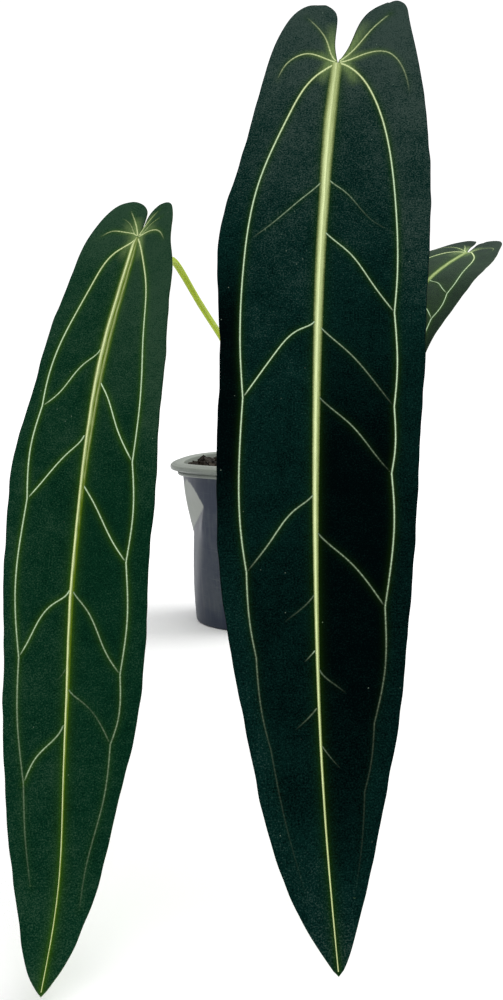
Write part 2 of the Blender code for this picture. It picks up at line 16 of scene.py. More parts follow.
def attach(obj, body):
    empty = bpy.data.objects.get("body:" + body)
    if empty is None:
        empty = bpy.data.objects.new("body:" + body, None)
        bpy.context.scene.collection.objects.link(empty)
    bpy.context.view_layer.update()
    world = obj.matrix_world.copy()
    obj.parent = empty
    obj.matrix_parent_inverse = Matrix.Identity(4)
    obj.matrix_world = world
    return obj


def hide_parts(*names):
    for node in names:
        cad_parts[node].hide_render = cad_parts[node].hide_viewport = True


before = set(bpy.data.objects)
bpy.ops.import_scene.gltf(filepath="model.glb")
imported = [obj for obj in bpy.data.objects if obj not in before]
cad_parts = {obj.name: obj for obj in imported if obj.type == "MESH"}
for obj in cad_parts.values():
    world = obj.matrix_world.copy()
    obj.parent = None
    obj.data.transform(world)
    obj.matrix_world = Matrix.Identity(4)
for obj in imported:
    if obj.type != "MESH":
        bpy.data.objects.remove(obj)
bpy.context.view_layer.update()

bl_info = {
    "name": "Queen Anthurium in a Nursery Pot",
    "version": (1, 0, 0),
    "blender": (4, 5, 0),
    "location": "View3D > Sidebar > Anthurium",
    "description": "Leaves, stalks, crown, bark mix and pot of a queen anthurium",
    "category": "Add Mesh",
}

MM = 0.001

# The pot
POT_HEIGHT = 0.1274
RIM_RADIUS = 0.0663
LIP_DEPTH = 0.0054
STEP_RADIUS = 0.0606
STEP_DEPTH = 0.0045
BODY_TOP_RADIUS = 0.0565
BASE_RADIUS = 0.0467
BASE_CORNER = 0.0014
WALL = 0.0016
FLOOR_THICKNESS = 0.0022
DRAIN_RADIUS = 0.0045
DRAIN_RING = 0.0315
DRAIN_COUNT = 6
DRAIN_TURN = 0.37
DRAIN_SIDES = 28
DRAIN_CUT_DEPTH = 0.02
POT_SIDES = 300
WALL_ROWS = 64

# The two flat facets of the dent in the left wall: how far each is turned from -X toward -Y in degrees,
# its distance from the axis at a height, that height, and how fast it leans out as it rises
DENT_UPPER = (20.5, 0.0508, 0.097, 0.345)
DENT_LOWER = (9.0, 0.0445, 0.097, -0.075)

# How far the rim sags over the dent, and the spread of the sag round the pot in degrees
RIM_SAG = 0.0022
RIM_SAG_SPREAD = 36.0
RIM_SAG_FOOT = 0.085

# Depth over which the lower facet blends into the round wall, the height at which that blend is gone, and the
# height over which it fades
DENT_BLEND = 0.004
DENT_BLEND_TOP = 0.088
DENT_BLEND_FADE = 0.02

# How squarely a facet has to face a place to reach it
FACET_FACING = 0.4

# How much painted shade darkens the side of the rim against its top, which is painted as lit from above
RIM_SHADE = 0.28

# Bark mix and crown
SOIL_HEIGHT = 0.1144
CROWN_RADIUS = 0.008
CROWN_TOP = 0.136
CROWN_FOOT = 0.0845
ROOT_TURNS = (0.5, 2.4, 4.3)
ROOT_RADIUS = 0.0021
SCALE_THICKNESS = 0.0005

# Smallest and largest piece of bark
CHUNK_SIZES = (0.0035, 0.0085)

# Where round the crown each papery scale stands, in radians, and its height
CROWN_SCALES = ((-0.9, 0.034), (1.3, 0.0272), (3.3, 0.0306))

# Leaf stalks, whose rings stand closer at the foot and the end, over the lengths of the two caps
STALK_RADIUS = 0.0019
STALK_FOOT_RADIUS = 0.0029
KNUCKLE_RADIUS = 0.0026
KNUCKLE_LENGTH = 0.020
STALK_FOOT_CAP = 0.003
STALK_END_CAP = 0.0015
STALK_ATTACH_MM = 2.5
STALK_SIDES = 18

# Each kind of vein, in millimetres: half width of its ridge, width of its bright core at start and end, crest
# above the blade and depth below it
VEIN_KINDS = {
    "collective": (1.1, 0.36, 0.21, 0.20, 0.5),
    "side": (0.9, 0.24, 0.20, 0.16, 0.4),
    "faint": (0.8, 0.24, 0.20, 0.11, 0.3),
    "trace": (0.7, 0.22, 0.16, 0.09, 0.2),
    "lobe": (1.0, 0.32, 0.24, 0.14, 0.35),
}

# Distance between the points of a vein, and how far before its first point it leaves the midrib
VEIN_STEP_MM = 1.5
VEIN_LEAVES_MIDRIB_MM = 2.4

# How fast the core of a vein thins, the share of its depth that it loses, and the points over which it ends
VEIN_CORE_TAPER = 8.0
VEIN_DEPTH_LOSS = 0.4
VEIN_END_POINTS = 3.0

# Divisions over the upper side and the under side of a ridge
VEIN_STEPS = (16, 4)
MIDRIB_STEPS = (26, 8)

# Rows along the midrib, the share of its ridge that is coloured, and where its lines change into the one line
# of the tip: from which place, and over which length
MIDRIB_ROWS = 260
MIDRIB_COLOURED = 0.64
MIDRIB_CHANGE_MM = 110.0
MIDRIB_BLEND_MM = 60.0

# Rings of green beside the midrib and the veins, and of light in a thin vein: strength and width of each, the
# widths in millimetres or, for the core, as shares of its own width
MIDRIB_GLOW = ((0.75, 1.0), (0.4, 2.8))
VEIN_GLOW = ((0.8, 1.2), (0.45, 2.2))
CORE_RINGS = ((0.94, 1.0), (0.06, 2.2))

# Width of the pale green along the lobe veins and round the junction, and the distance from the stalk at
# which the veins have turned from yellow to green
HAZE_MM = 1.6
JUNCTION_HAZE_MM = 4.0
FRESH_GREEN_MM = 80.0

# Ripple of the margin, the shift of the right margin's waves against the left ones in radians, the distance
# from a vein at which the blade is fully swollen, and the least half width that the waves are measured by
MARGIN_RIPPLE_MM = 0.16
RIGHT_WAVE_SHIFT = 1.3
SWELL_REACH_MM = 9.0
LEAST_HALF_MM = 4.0

# Where the lobes start, and the share of a blade's rows that lie between there and the tip
SHOULDER_MM = 12.0
BODY_ROWS = 0.82

# Length over which the direction of the spine is taken, and how much each face closes in at the margin
SPINE_STEP_MM = 0.2
MARGIN_THINNING_MM = 0.18

# The points of the leaf tables were picked on the photograph, or guessed where other leaves hide them,
# turned into millimetres of the flat leaf with this scene's camera, and rounded. The levels and strengths,
# 0 to 1, were set to match its colours.
# x is the place across the flat leaf, y the place from the stalk toward the tip, and a table holds:
# rows: rows of faces along each half of the blade
# spine_mm: points of the middle line in space
# turn: y, and how far the width of the blade is turned from +X about +Z, in degrees
# fold: y, and the rise of the left and the right half beside the spine, in degrees
# curl: y, and how fast each rise falls away toward the margin, in degrees a millimetre
# sinus, margin: x and y round a half, from the stalk to the top of the lobe and from there to the tip
# wave: height, length and phase of the waves at the margin
# swell: height of the blade between its veins
# midrib_mm: y, and the middle and half width of the midrib
# midrib_light, midrib_end_light: place across the midrib, -1 at its left to 1 at its right, and brightness: the
# pale midrib and, where its left is brighter, a painted highlight there, with painted shade on its right
# dull_mm: y at which the dull start of the midrib ends
# vein_fade: share of the way along a collective vein, and its strength there
# hazes: width, strength and line of each pale fan
# panel, strip: y, and the painted light and shade of the velvet, with the leaf's own lightness, inside and
# outside the collective vein
# veins: kind, strength at the start, middle and end, and the runs of points; a collective vein has runs only
# stalk_mm, added below the tables: points of the leaf stalk in space
FRONT_LEAF = {
    "rows": 330,
    "spine_mm": (
        (36, -400, 353), (28, -434, 289.5), (23.5, -477, 208), (22, -521, 124), (24, -553, 56), (28, -578, 8),
    ),
    "turn": ((0, -8), (389, 0)),
    "fold": ((0, 8, 4), (100, 6, 4), (389, 4, 4)),
    "curl": ((0, 0.12, 0.06), (389, 0.06, 0.06)),
    "left_sinus": ((0, 0), (-1.9, -8), (-2.3, -20), (-4, -27.6), (-8.6, -30.8)),
    "left_margin": (
        (-8.6, -30.8), (-16, -30.8), (-22.2, -26.2), (-26.5, -18), (-29.8, -6), (-31.8, 8), (-37, 48),
        (-43.5, 92), (-40.5, 145), (-40, 198), (-35.7, 255), (-25, 317), (-10.8, 371), (-4.5, 382.5),
        (0, 390),
    ),
    "right_sinus": ((0, 0), (3.2, -6), (5.5, -13), (8, -21.5), (12, -28), (19.8, -33.3)),
    "right_margin": (
        (19.8, -33.3), (23.5, -35), (26.8, -33.8), (29.8, -26.8), (33.5, -11.5), (37.3, 4), (43.5, 37),
        (46.3, 75), (45.5, 125), (42.5, 180), (38.5, 232), (32, 287), (20, 339), (7.2, 376), (2.6, 386),
        (0, 390),
    ),
    "wave": (0.9, 74, 0.4),
    "swell": 0.5,
    "midrib_mm": (
        (0, -0.4, 2.0), (14, -0.4, 2.1), (31, -0.4, 2.3), (73, 0.5, 1.9), (121, 0.3, 1.7), (167, 0.1, 1.4),
        (211, 0, 1.15), (252, 0.1, 0.85), (290, 0.15, 0.55), (327, 0.25, 0.42), (390, 0, 0.22),
    ),
    # A painted highlight on the left of the midrib and painted shade on its right
    "midrib_light": (
        (-1, 0.0), (-0.62, 0.1), (-0.4, 0.4), (-0.2, 0.75), (-0.1, 1.0), (0, 0.95), (0.12, 0.4), (0.45, 0.25),
        (0.7, 0.0),
    ),
    "midrib_end_light": (
        (-0.7, 0.0), (-0.4, 0.5), (-0.16, 1.0), (0, 0.9), (0.2, 0.3), (0.45, 0.0), (1, -0.5),
    ),
    "dull_mm": 60,
    "vein_fade": ((0, 0.95), (0.1, 1.0), (0.5, 0.95), (0.65, 0.75), (0.76, 0.2), (0.84, 0.05), (1, 0.0)),
    "hazes": (
        (2.6, 1.0, ((-1.5, 0), (-3, -7), (-3.8, -14), (-5, -22))),
        (2.6, 1.0, ((1.5, 0), (4.8, -7), (8, -15), (12, -24))),
        (2.4, 0.85, ((-3, 0), (-5, 5), (-7, 14))), (2.6, 0.9, ((3, 0), (6, 5), (10, 14))),
        (2.2, 0.8, ((2, -1), (8, -3), (15, -5))), (2.0, 0.6, ((-2, -1), (-8, -3), (-14, -3))),
    ),
    # Painted light and shade: the lobes lighter where light falls from above, the middle and the left strip
    # darker
    "left_panel": ((-20, 0.95), (40, 0.68), (95, 0.47), (185, 0.28), (260, 0.14), (330, 0.24), (380, 0.5)),
    "left_strip": ((-30, 0.95), (20, 0.72), (85, 0.42), (130, 0.0), (195, 0.0), (245, 0.3), (350, 0.36)),
    "right_panel": ((-20, 1.0), (40, 0.57), (95, 0.42), (190, 0.0), (275, 0.0), (340, 0.12), (380, 0.5)),
    "right_strip": ((-30, 1.0), (40, 0.7), (90, 0.62), (150, 0.27), (235, 0.13), (300, 0.2), (350, 0.28)),
    "veins": (
        ("collective", ((-2, 2), (-8.7, 8.5), (-18.7, 30.5), (-28, 63), (-32, 101), (-32, 142), (-30, 167)),
         ((-30, 167), (-30.7, 190), (-29, 228), (-27, 241)), ((-27, 241), (-25.5, 262), (-23.3, 274)),
         ((-23.3, 274), (-21, 298), (-18.5, 309)), ((-18.5, 309), (-15, 332), (-8.5, 363))),
        ("collective", ((2, 1), (7, 4), (18, 19), (28, 51), (31.5, 76), (33, 112), (32, 128)),
         ((32, 128), (33, 156), (31.7, 171)), ((31.7, 171), (31.8, 190), (30.3, 200)),
         ((30.3, 200), (31, 217), (26.5, 255)), ((26.5, 255), (25.5, 280), (20.6, 300)),
         ((20.6, 300), (18, 317), (15.5, 325)), ((15.5, 325), (12.9, 344), (8, 364))),
        ("faint", (0.42, 0.33, 0.0), ((-1.5, 64), (-8.5, 72), (-22.5, 87), (-30.5, 94))),
        ("side", (0.8, 0.95, 1.0), ((-1.5, 132), (-7.1, 135.3), (-17.1, 146.3), (-30, 167))),
        ("side", (0.35, 0.65, 0.05), ((-2, 210), (-8, 215), (-17.5, 228), (-27, 241))),
        ("faint", (0.15, 0.0, 0.0), ((-1.6, 251), (-14, 262), (-23.5, 274))),
        ("trace", (0.6, 0.0, 0.0), ((-2, 273), (-9.5, 280))),
        ("faint", (0.2, 0.0, 0.0), ((-2, 295), (-7.3, 300), (-18.5, 309))),
        ("faint", (0.55, 0.1, 0.0), ((1.5, 62), (8.5, 68), (22.5, 84), (31, 89))),
        ("side", (0.7, 0.85, 0.65), ((2, 89), (12.5, 99), (22, 113), (32, 128))),
        ("side", (0.45, 0.3, 0.02), ((2, 135), (13, 146), (26, 163), (31.7, 171))),
        ("side", (0.2, 0.38, 0.0), ((2, 167), (14.5, 179), (25.5, 194), (30.3, 200))),
        ("side", (0.3, 0.35, 0.35), ((2, 226), (12.6, 236), (26.5, 255))),
        ("faint", (0.2, 0.0, 0.0), ((1.3, 280), (8, 286), (20.6, 300))),
        ("trace", (0.2, 0.0, 0.0), ((1.5, 309), (15.5, 325))),
        ("lobe", (0.85, 0.5, 0.1), ((-1.5, -1), (-5.9, -10.4), (-16.9, -23.7))),
        ("lobe", (0.9, 0.75, 0.1), ((-2, 0), (-14, -3), (-22.5, 3), (-26, 13))),
        ("lobe", (0.75, 0.7, 0.35), ((1.5, -1), (5.9, -5.6), (13.6, -17.6), (21.5, -27))),
        ("lobe", (1.0, 0.45, 0.0), ((2, 0), (12, -4.2), (21.3, -5.2), (29.8, 4), (34, 18))),
    ),
}

LEFT_LEAF = {
    "rows": 290,
    "spine_mm": (
        (-57, -380, 276.5), (-71, -420, 224), (-77, -462, 163), (-77.5, -499, 106), (-76, -529, 61),
        (-74.7, -553, 31), (-76.5, -587, 5.5),
    ),
    "turn": ((0, -30), (60, -24), (140, -14), (345, -8)),
    "fold": ((0, 16, 16), (120, 10, 10), (345, 5, 5)),
    "curl": ((0, 0.12, 0.12), (345, 0.06, 0.06)),
    "left_sinus": ((0, 0), (0.7, -5), (1, -11), (0.3, -16), (-3.5, -20.5), (-10, -22.5)),
    "left_margin": (
        (-10, -22.5), (-14.6, -20.6), (-19.2, -15.1), (-22.6, -5), (-25.3, 9), (-26.2, 25), (-26.7, 50),
        (-28, 92), (-30.8, 130), (-28.5, 174), (-26.3, 209), (-24, 242), (-21.2, 277), (-16.3, 304),
        (-9.5, 328), (-4.5, 339.5), (0, 345),
    ),
    "right_sinus": ((0, 0), (1.5, -5), (2.1, -11), (4, -14.6), (7.5, -17.2)),
    "right_margin": (
        (7.5, -17.2), (12.2, -17.4), (15.6, -15.8), (18.2, -12), (21, -4.5), (23, 7.5), (27, 20),
        (31.5, 38), (35, 75), (35.8, 105), (35, 146), (33.3, 190), (31, 233), (26, 258), (19, 287),
        (10.8, 320), (4.8, 338), (0, 345),
    ),
    "wave": (0.8, 58, 1.1),
    "swell": 0.45,
    "midrib_mm": (
        (0, 0, 0.8), (5, -0.2, 1.6), (14, 0.7, 2.1), (38, 1.9, 2.4), (67, 2.3, 2.5), (104, 2.2, 1.8),
        (143, 1.4, 1.2), (188, 0.5, 1.05), (230, 0.9, 0.8), (270, 0.35, 0.45), (345, 0, 0.25),
    ),
    # A painted highlight on the left of the midrib and painted shade on its right
    "midrib_light": (
        (-1, 0.0), (-0.62, 0.2), (-0.42, 0.95), (-0.32, 1.0), (-0.14, 0.45), (0.1, 0.05), (0.24, 0.0),
        (0.38, 0.3), (0.48, 0.3), (0.66, 0.0),
    ),
    "midrib_end_light": ((-0.7, 0.0), (-0.34, 1.0), (-0.2, 1.0), (0, 0.35), (0.3, 0.0), (1, -0.5)),
    "dull_mm": 10,
    "vein_fade": ((0, 0.9), (0.35, 0.95), (0.55, 0.85), (0.65, 0.65), (0.8, 0.25), (1, 0.03)),
    "hazes": (
        (2.4, 1.0, ((-1, 0), (-2.5, -6), (-3, -13))), (2.0, 1.0, ((1, 0), (3.2, -7), (6.5, -14))),
        (2.0, 0.7, ((-1.5, 0), (-3, 6), (-4.5, 17))), (2.0, 0.8, ((2, 0), (4.5, 8), (6.5, 18))),
        (2.2, 0.8, ((2, -1), (7, -3), (12, -1))), (2.2, 0.7, ((-2, -1), (-6, -5), (-9, -9))),
    ),
    # Painted light and shade of the velvet, with the leaf's own lightness
    "left_panel": ((-20, 1.0), (35, 0.6), (150, 0.48), (276, 0.5), (330, 0.6)),
    "left_strip": ((-15, 1.0), (35, 0.6), (122, 0.55), (240, 0.5), (330, 0.6)),
    "right_panel": ((-15, 0.95), (35, 0.85), (90, 0.6), (150, 0.36), (276, 0.45), (330, 0.55)),
    "right_strip": ((-15, 0.95), (60, 0.9), (110, 0.75), (155, 0.42), (276, 0.45), (330, 0.55)),
    "veins": (
        ("collective", ((-1.5, 3), (-7.5, 10), (-13.5, 28), (-18.5, 58), (-21.7, 85), (-21.6, 97)),
         ((-21.6, 97), (-23.3, 118), (-22, 142)), ((-22, 142), (-23, 162), (-22, 195), (-19.6, 212)),
         ((-19.6, 212), (-18.5, 238), (-15.2, 263)), ((-15.2, 263), (-13.5, 285), (-10.2, 304))),
        ("collective", ((2.5, 4), (10, 18), (18, 38), (23, 68), (26, 105), (24.4, 128)),
         ((24.4, 128), (26, 155), (24, 174)), ((24, 174), (25, 200), (22.8, 222)),
         ((22.8, 222), (22, 241), (19, 250)), ((19, 250), (16.5, 272), (10, 298), (9, 313))),
        ("side", (0.65, 0.9, 0.75), ((-0.6, 68), (-5.6, 74.3), (-15.6, 91.3), (-21.6, 97))),
        ("side", (0.8, 0.95, 1.0), ((-0.7, 113), (-5.6, 119.5), (-17.1, 135.5), (-22, 142))),
        ("side", (0.8, 0.75, 0.7), ((-0.9, 185), (-6.7, 189.7), (-16.3, 205.7), (-19.6, 212))),
        ("side", (0.4, 0.6, 0.55), ((-0.8, 242), (-10.1, 252.5), (-15.2, 263))),
        ("faint", (0.15, 0.0, 0.0), ((-1, 219), (-8.8, 226))),
        ("side", (1.0, 1.0, 1.0), ((1, 80), (8, 92), (16, 111), (24.4, 128))),
        ("side", (0.8, 0.85, 0.9), ((1.5, 135), (7.4, 144.4), (18.4, 165.4), (24, 174))),
        ("side", (0.4, 0.5, 0.4), ((1.5, 185), (7.6, 193), (17, 213), (22.8, 222))),
        ("side", (0.3, 0.06, 0.2), ((1.2, 226), (8.5, 233), (19, 250))),
        ("lobe", (0.85, 0.6, 0.05), ((-1.2, -1), (-6, -2), (-13.6, -2), (-19, 3))),
        ("lobe", (1.0, 0.65, 0.0), ((1.5, 0), (6.7, -1), (13.8, 1), (20, 9))),
        ("lobe", (0.95, 0.65, 0.0), ((-0.8, -2), (-4, -9), (-9, -17))),
        ("lobe", (1.0, 0.7, 0.2), ((1, -2), (4, -8), (9.5, -14))),
        ("trace", (1.0, 0.3, 0.0), ((-1, -1), (-5, -6), (-12, -11))),
        ("trace", (1.0, 0.6, 0.15), ((1.2, -1), (6, -5), (13, -8))),
    ),
}

RIGHT_LEAF = {
    "rows": 220,
    "spine_mm": (
        (135.5, -160, 278.5), (105, -210, 260.5), (74, -255, 222), (57, -276, 178), (46, -285, 125),
        (41, -290, 88),
    ),
    "turn": ((0, -31), (273, -20)),
    "fold": ((0, 25, 10), (100, 25, 10), (273, 8, 8)),
    "curl": ((0, 0.8, 0.23), (273, 0.23, 0.23)),
    "left_sinus": ((0, 0), (-1.3, -6), (-2.5, -14), (-3, -22), (-4.2, -27.5)),
    "left_margin": (
        (-4.2, -27.5), (-7.5, -28), (-12, -24), (-17.5, -17), (-23, 0), (-27, 17), (-30, 40), (-30, 90),
        (-27, 135), (-23, 175), (-17, 213), (-9, 249), (0, 273),
    ),
    "right_sinus": ((0, 0), (-0.2, -5), (-1, -16), (-1.2, -26), (0.8, -33.3)),
    "right_margin": (
        (0.8, -33.3), (4.8, -35), (9, -33.7), (13.3, -28), (18.5, -14), (22.7, 0.6), (28, 25), (30.5, 48),
        (30, 90), (27, 132), (23, 175), (17, 213), (9, 249), (0, 273),
    ),
    "wave": (0.6, 60, 0.0),
    "swell": 0.4,
    "midrib_mm": ((0, 0, 1.5), (100, 0, 1.2), (200, 0, 0.7), (273, 0, 0.3)),
    "midrib_light": ((-1, 0.0), (-0.4, 0.1), (0, 0.3), (0.4, 0.1), (1, 0.0)),
    "midrib_end_light": ((-1, 0.0), (-0.4, 0.3), (0, 0.8), (0.4, 0.3), (1, 0.0)),
    "dull_mm": 10,
    "vein_fade": ((0, 0.9), (0.5, 0.75), (1, 0.3)),
    "hazes": (
        (2.0, 0.9, ((-1, -1), (-2.5, -8), (-3.5, -16))), (2.0, 0.8, ((1, -1), (2.5, -8), (3.5, -16))),
        (2.0, 0.5, ((-2, 1), (-4, 8), (-5, 20))), (2.0, 0.5, ((2, 1), (4, 8), (5, 20))),
    ),
    # Painted light and shade of the velvet, with the leaf's own lightness
    "left_panel": ((-20, 0.35), (10, 0.7), (60, 0.55), (270, 0.5)),
    "left_strip": ((-20, 0.3), (20, 0.6), (60, 0.6), (270, 0.5)),
    "right_panel": ((-20, 0.45), (10, 0.75), (60, 0.6), (270, 0.5)),
    "right_strip": ((-20, 0.4), (20, 0.55), (60, 0.5), (270, 0.45)),
    "veins": (
        ("collective", ((-1, 1), (-8.8, 12), (-13, 26), (-19, 52), (-21, 80)),
         ((-21, 80), (-22.5, 100), (-21, 112)), ((-21, 112), (-21, 135), (-18, 160)),
         ((-18, 160), (-14, 195), (-8, 238))),
        ("collective", ((2, 1), (6.4, 7), (14, 23), (19.4, 56), (21, 72), (20.7, 82)),
         ((20.7, 82), (22.4, 95), (20.9, 106)), ((20.9, 106), (22, 125), (20, 150)),
         ((20, 150), (19, 172), (15.5, 195)), ((15.5, 195), (12, 222), (7, 245))),
        ("side", (0.6, 0.6, 0.6), ((-1.5, 62), (-8, 67), (-21, 80))),
        ("side", (0.6, 0.6, 0.6), ((-1.5, 94), (-8, 99), (-21, 112))),
        ("side", (0.6, 0.6, 0.5), ((-1, 142), (-8, 148), (-18, 160))),
        ("side", (0.6, 0.6, 0.6), ((2, 64), (8, 68), (15, 76), (20.7, 82))),
        ("side", (0.7, 0.8, 0.7), ((2, 88), (8, 92), (20.9, 106))),
        ("side", (0.9, 0.95, 0.9), ((1.5, 130), (9, 137), (20, 150))),
        ("faint", (0.3, 0.2, 0.1), ((1, 176), (8, 183), (15.5, 195))),
        ("lobe", (0.8, 0.4, 0.1), ((1.5, -1), (4.6, -7), (7, -14))),
        ("lobe", (0.8, 0.4, 0.1), ((2, -1), (8, -6), (16, -3), (20, 8))),
        ("lobe", (0.8, 0.5, 0.1), ((-1.5, -1), (-4.6, -8), (-8, -15))),
        ("lobe", (0.8, 0.5, 0.1), ((-2, -1), (-9, -4), (-17, -2), (-20, 9))),
    ),
}

# Where each stalk leaves the crown, at the crown's own height, and the points it passes, in millimetres
FRONT_LEAF["stalk_mm"] = ((3.6, -3.8, 0), (7, -18, 185), (13, -86, 258), (21, -188, 308), (29, -300, 334))
LEFT_LEAF["stalk_mm"] = (
    (-5, -1, 0), (-8, -24, 163), (-13.5, -95, 195), (-22, -170, 224), (-36.2, -250, 251.5),
    (-45.3, -290, 268.4),
)
RIGHT_LEAF["stalk_mm"] = ((3.2, 4.2, 0), (10, -1, 170), (40, -32, 208), (85, -83, 236), (122, -130, 252))

LEAVES = {"front": FRONT_LEAF, "left": LEFT_LEAF, "right": RIGHT_LEAF}
LEAF_ITEMS = (
    ("front", "Front Leaf", "The longest leaf, in front of the pot"),
    ("left", "Left Leaf", "The leaf that hangs to the left"),
    ("right", "Right Leaf", "The leaf that hangs behind, to the right"),
)

# Each leaf's material: its name, the contrast of its nap, its specular level and its sheen
LEAF_LOOKS = {
    "front": ("Front Leaf Velvet", 1.0, 0.005, 0.004),
    "left": ("Left Leaf Velvet", 1.0, 0.008, 0.004),
    "right": ("Right Leaf Velvet", 0.8, 0.1, 0.02),
}

# Brightness of the dim room, of the soft box overhead and of what the camera sees behind the plant
ROOM_LIGHT = 0.35
OVERHEAD_LIGHT = 1.15
BACKDROP = 1.1

# The key light
KEY_PLACE = (0.95, 0.25, 1.25)
KEY_AIM = (0.0, -0.25, 0.15)
KEY_SIZE = 1.1
KEY_POWER = 17.0

# The camera, which looks along +Y, pitched down by some degrees
CAMERA_PLACE = (-0.003, -1.01, 0.242)
CAMERA_PITCH = 8.3
CAMERA_LENS = 46.8
SENSOR_HEIGHT = 36.0

# Columns across half a blade, where the even ones end and where the last two stand, as shares of the half
BLADE_COLUMNS = 40
EVEN_COLUMNS_END = 0.965
NEAR_MARGIN = (0.988, 1.0)

# Colours that aren't in the panel: the pale specks of the velvet, what the green beside the veins leaves of
# the ground, and the shine of the nap
BLACK = (0.0, 0.0, 0.0, 1.0)
WHITE = (1.0, 1.0, 1.0, 1.0)
SPECK_COLOUR = (0.6, 0.8, 0.6, 1.0)
GLOW_FILTER = (0.6, 0.8, 0.32, 1.0)
NAP_SHEEN = (0.2, 0.8, 0.7, 1.0)

# Outputs of the shader groups that describe a whole surface
SURFACE = (("Color", "Color"), ("Roughness", "Float"), ("Height", "Float"))


def srgb(red, green, blue):
    """A colour given as 0 to 255 on screen, as the linear colour that a shader takes."""
    return tuple(((part / 255 + 0.055) / 1.055) ** 2.4 if part > 10 else part / 255 / 12.92
                 for part in (red, green, blue))


def colour_property(name, description, red, green, blue):
    """A colour in the panel, given as 0 to 255 on screen."""
    return FloatVectorProperty(
        name=name, description=description, subtype="COLOR", size=3, min=0.0, max=1.0,
        default=srgb(red, green, blue),
    )


class AnthuriumSettings(bpy.types.PropertyGroup):
    """Sizes and colours of the plant, its pot and the stage"""

    blade_thickness: FloatProperty(
        name="Blade Thickness", description="Thickness of a leaf between its veins",
        default=0.0007, min=0.0003, unit="LENGTH", precision=4,
    )
    midrib_crest: FloatProperty(
        name="Midrib Crest", description="Height of the midrib above the leaf at the stalk",
        default=0.0006, min=0.0, unit="LENGTH", precision=4,
    )
    midrib_depth: FloatProperty(
        name="Midrib Depth", description="Depth of the midrib below the leaf at the stalk",
        default=0.0015, min=0.0, unit="LENGTH", precision=4,
    )
    # Each leaf's shade colour is its painted shade, and its palest colour a painted sheen and light
    front_shade: colour_property("Front Shade", "Darkest ground of the front leaf", 0, 5, 6)
    front_velvet: colour_property("Front Velvet", "Middle ground of the front leaf", 5, 38, 33)
    front_bloom: colour_property("Front Painted Sheen", "Greyish ground of the lobes of the front leaf", 54, 70, 64)
    front_glow: colour_property("Front Glow", "Green added beside the veins of the front leaf", 16, 32, 0)
    left_shade: colour_property("Left Shade", "Darkest ground of the left leaf", 0, 24, 14)
    left_velvet: colour_property("Left Velvet", "Middle ground of the left leaf", 7, 46, 29)
    left_bloom: colour_property("Left Painted Sheen", "Greyish ground of the lobes of the left leaf", 42, 68, 50)
    left_glow: colour_property("Left Glow", "Green added beside the veins of the left leaf", 34, 54, 2)
    right_shade: colour_property("Right Shade", "Darkest ground of the right leaf", 4, 17, 10)
    right_velvet: colour_property("Right Velvet", "Middle ground of the right leaf", 15, 37, 22)
    right_bloom: colour_property("Right Painted Sheen", "Palest ground of the right leaf", 42, 63, 36)
    right_glow: colour_property("Right Glow", "Green added beside the veins of the right leaf", 28, 48, 2)
    haze: colour_property("Haze", "Pale green round the roots of the veins", 118, 142, 86)
    # The olive sides of the midribs also hold their painted shade, and the palest midrib colour their painted
    # highlight
    front_band: colour_property("Front Midrib", "Olive side of the midrib of the front leaf", 144, 160, 96)
    left_band: colour_property("Left Midrib", "Olive groove of the midrib of the left leaf", 88, 112, 22)
    right_band: colour_property("Right Midrib", "Side of the midrib of the right leaf", 108, 130, 66)
    midrib_light: colour_property("Midrib Light", "Palest line of the midribs", 236, 248, 186)
    vein_light: colour_property("Vein Light", "Palest line of the thin veins", 226, 254, 212)
    vein_green: colour_property("Vein Green", "Sides of the thin veins", 92, 142, 70)
    leaf_edge: colour_property("Leaf Edge", "Thin dark line along the margin", 16, 20, 18)
    underside: colour_property("Underside", "Pale underside of a leaf", 104, 132, 92)
    stalk: colour_property("Stalk", "Yellow green of the stalks", 154, 174, 20)
    # The slate colour is the plastic's own; the paler colour is painted light and painted reflection, and also
    # shows smears and scratches
    pot: colour_property("Pot", "Slate plastic where the pot is full", 31, 41, 58)
    lit_and_smeared_pot: colour_property("Lit And Smeared Pot", "Paler plastic where no mix lies behind it", 124, 130, 122)
    bark: colour_property("Bark", "Damp bark of the mix", 45, 37, 25)
    chunk_count: IntProperty(
        name="Chunks", description="Pieces of bark on the mix", default=420, min=0, max=2000,
    )
    seed: IntProperty(name="Seed", description="Order of the scattered bark", default=5, min=0)
    floor: colour_property("Floor", "Pale floor under the pot", 246, 246, 246)


class Curve:
    """Natural cubic curve through a few points, with linear ends."""

    def __init__(self, knots, values):
        self.knots = np.asarray(knots, dtype=float)
        self.values = np.asarray(values, dtype=float)
        if self.values.ndim == 1:
            self.values = self.values[:, None]
        count = len(self.knots)
        self.gaps = np.diff(self.knots)
        matrix = np.eye(count)
        right = np.zeros_like(self.values)
        for i in range(1, count - 1):
            matrix[i, i - 1] = self.gaps[i - 1]
            matrix[i, i] = 2 * (self.gaps[i - 1] + self.gaps[i])
            matrix[i, i + 1] = self.gaps[i]
            ahead = (self.values[i + 1] - self.values[i]) / self.gaps[i]
            behind = (self.values[i] - self.values[i - 1]) / self.gaps[i - 1]
            right[i] = 6 * (ahead - behind)
        self.bends = np.linalg.solve(matrix, right)

    def __call__(self, where):
        where = np.clip(np.atleast_1d(where), self.knots[0], self.knots[-1])
        i = np.clip(np.searchsorted(self.knots, where) - 1, 0, len(self.knots) - 2)
        gap = self.gaps[i][:, None]
        a = (self.knots[i + 1] - where)[:, None]
        b = (where - self.knots[i])[:, None]
        low = self.values[i] / gap - self.bends[i] * gap / 6
        high = self.values[i + 1] / gap - self.bends[i + 1] * gap / 6
        cubic = (self.bends[i] * a ** 3 + self.bends[i + 1] * b ** 3) / (6 * gap)
        return cubic + low * a + high * b


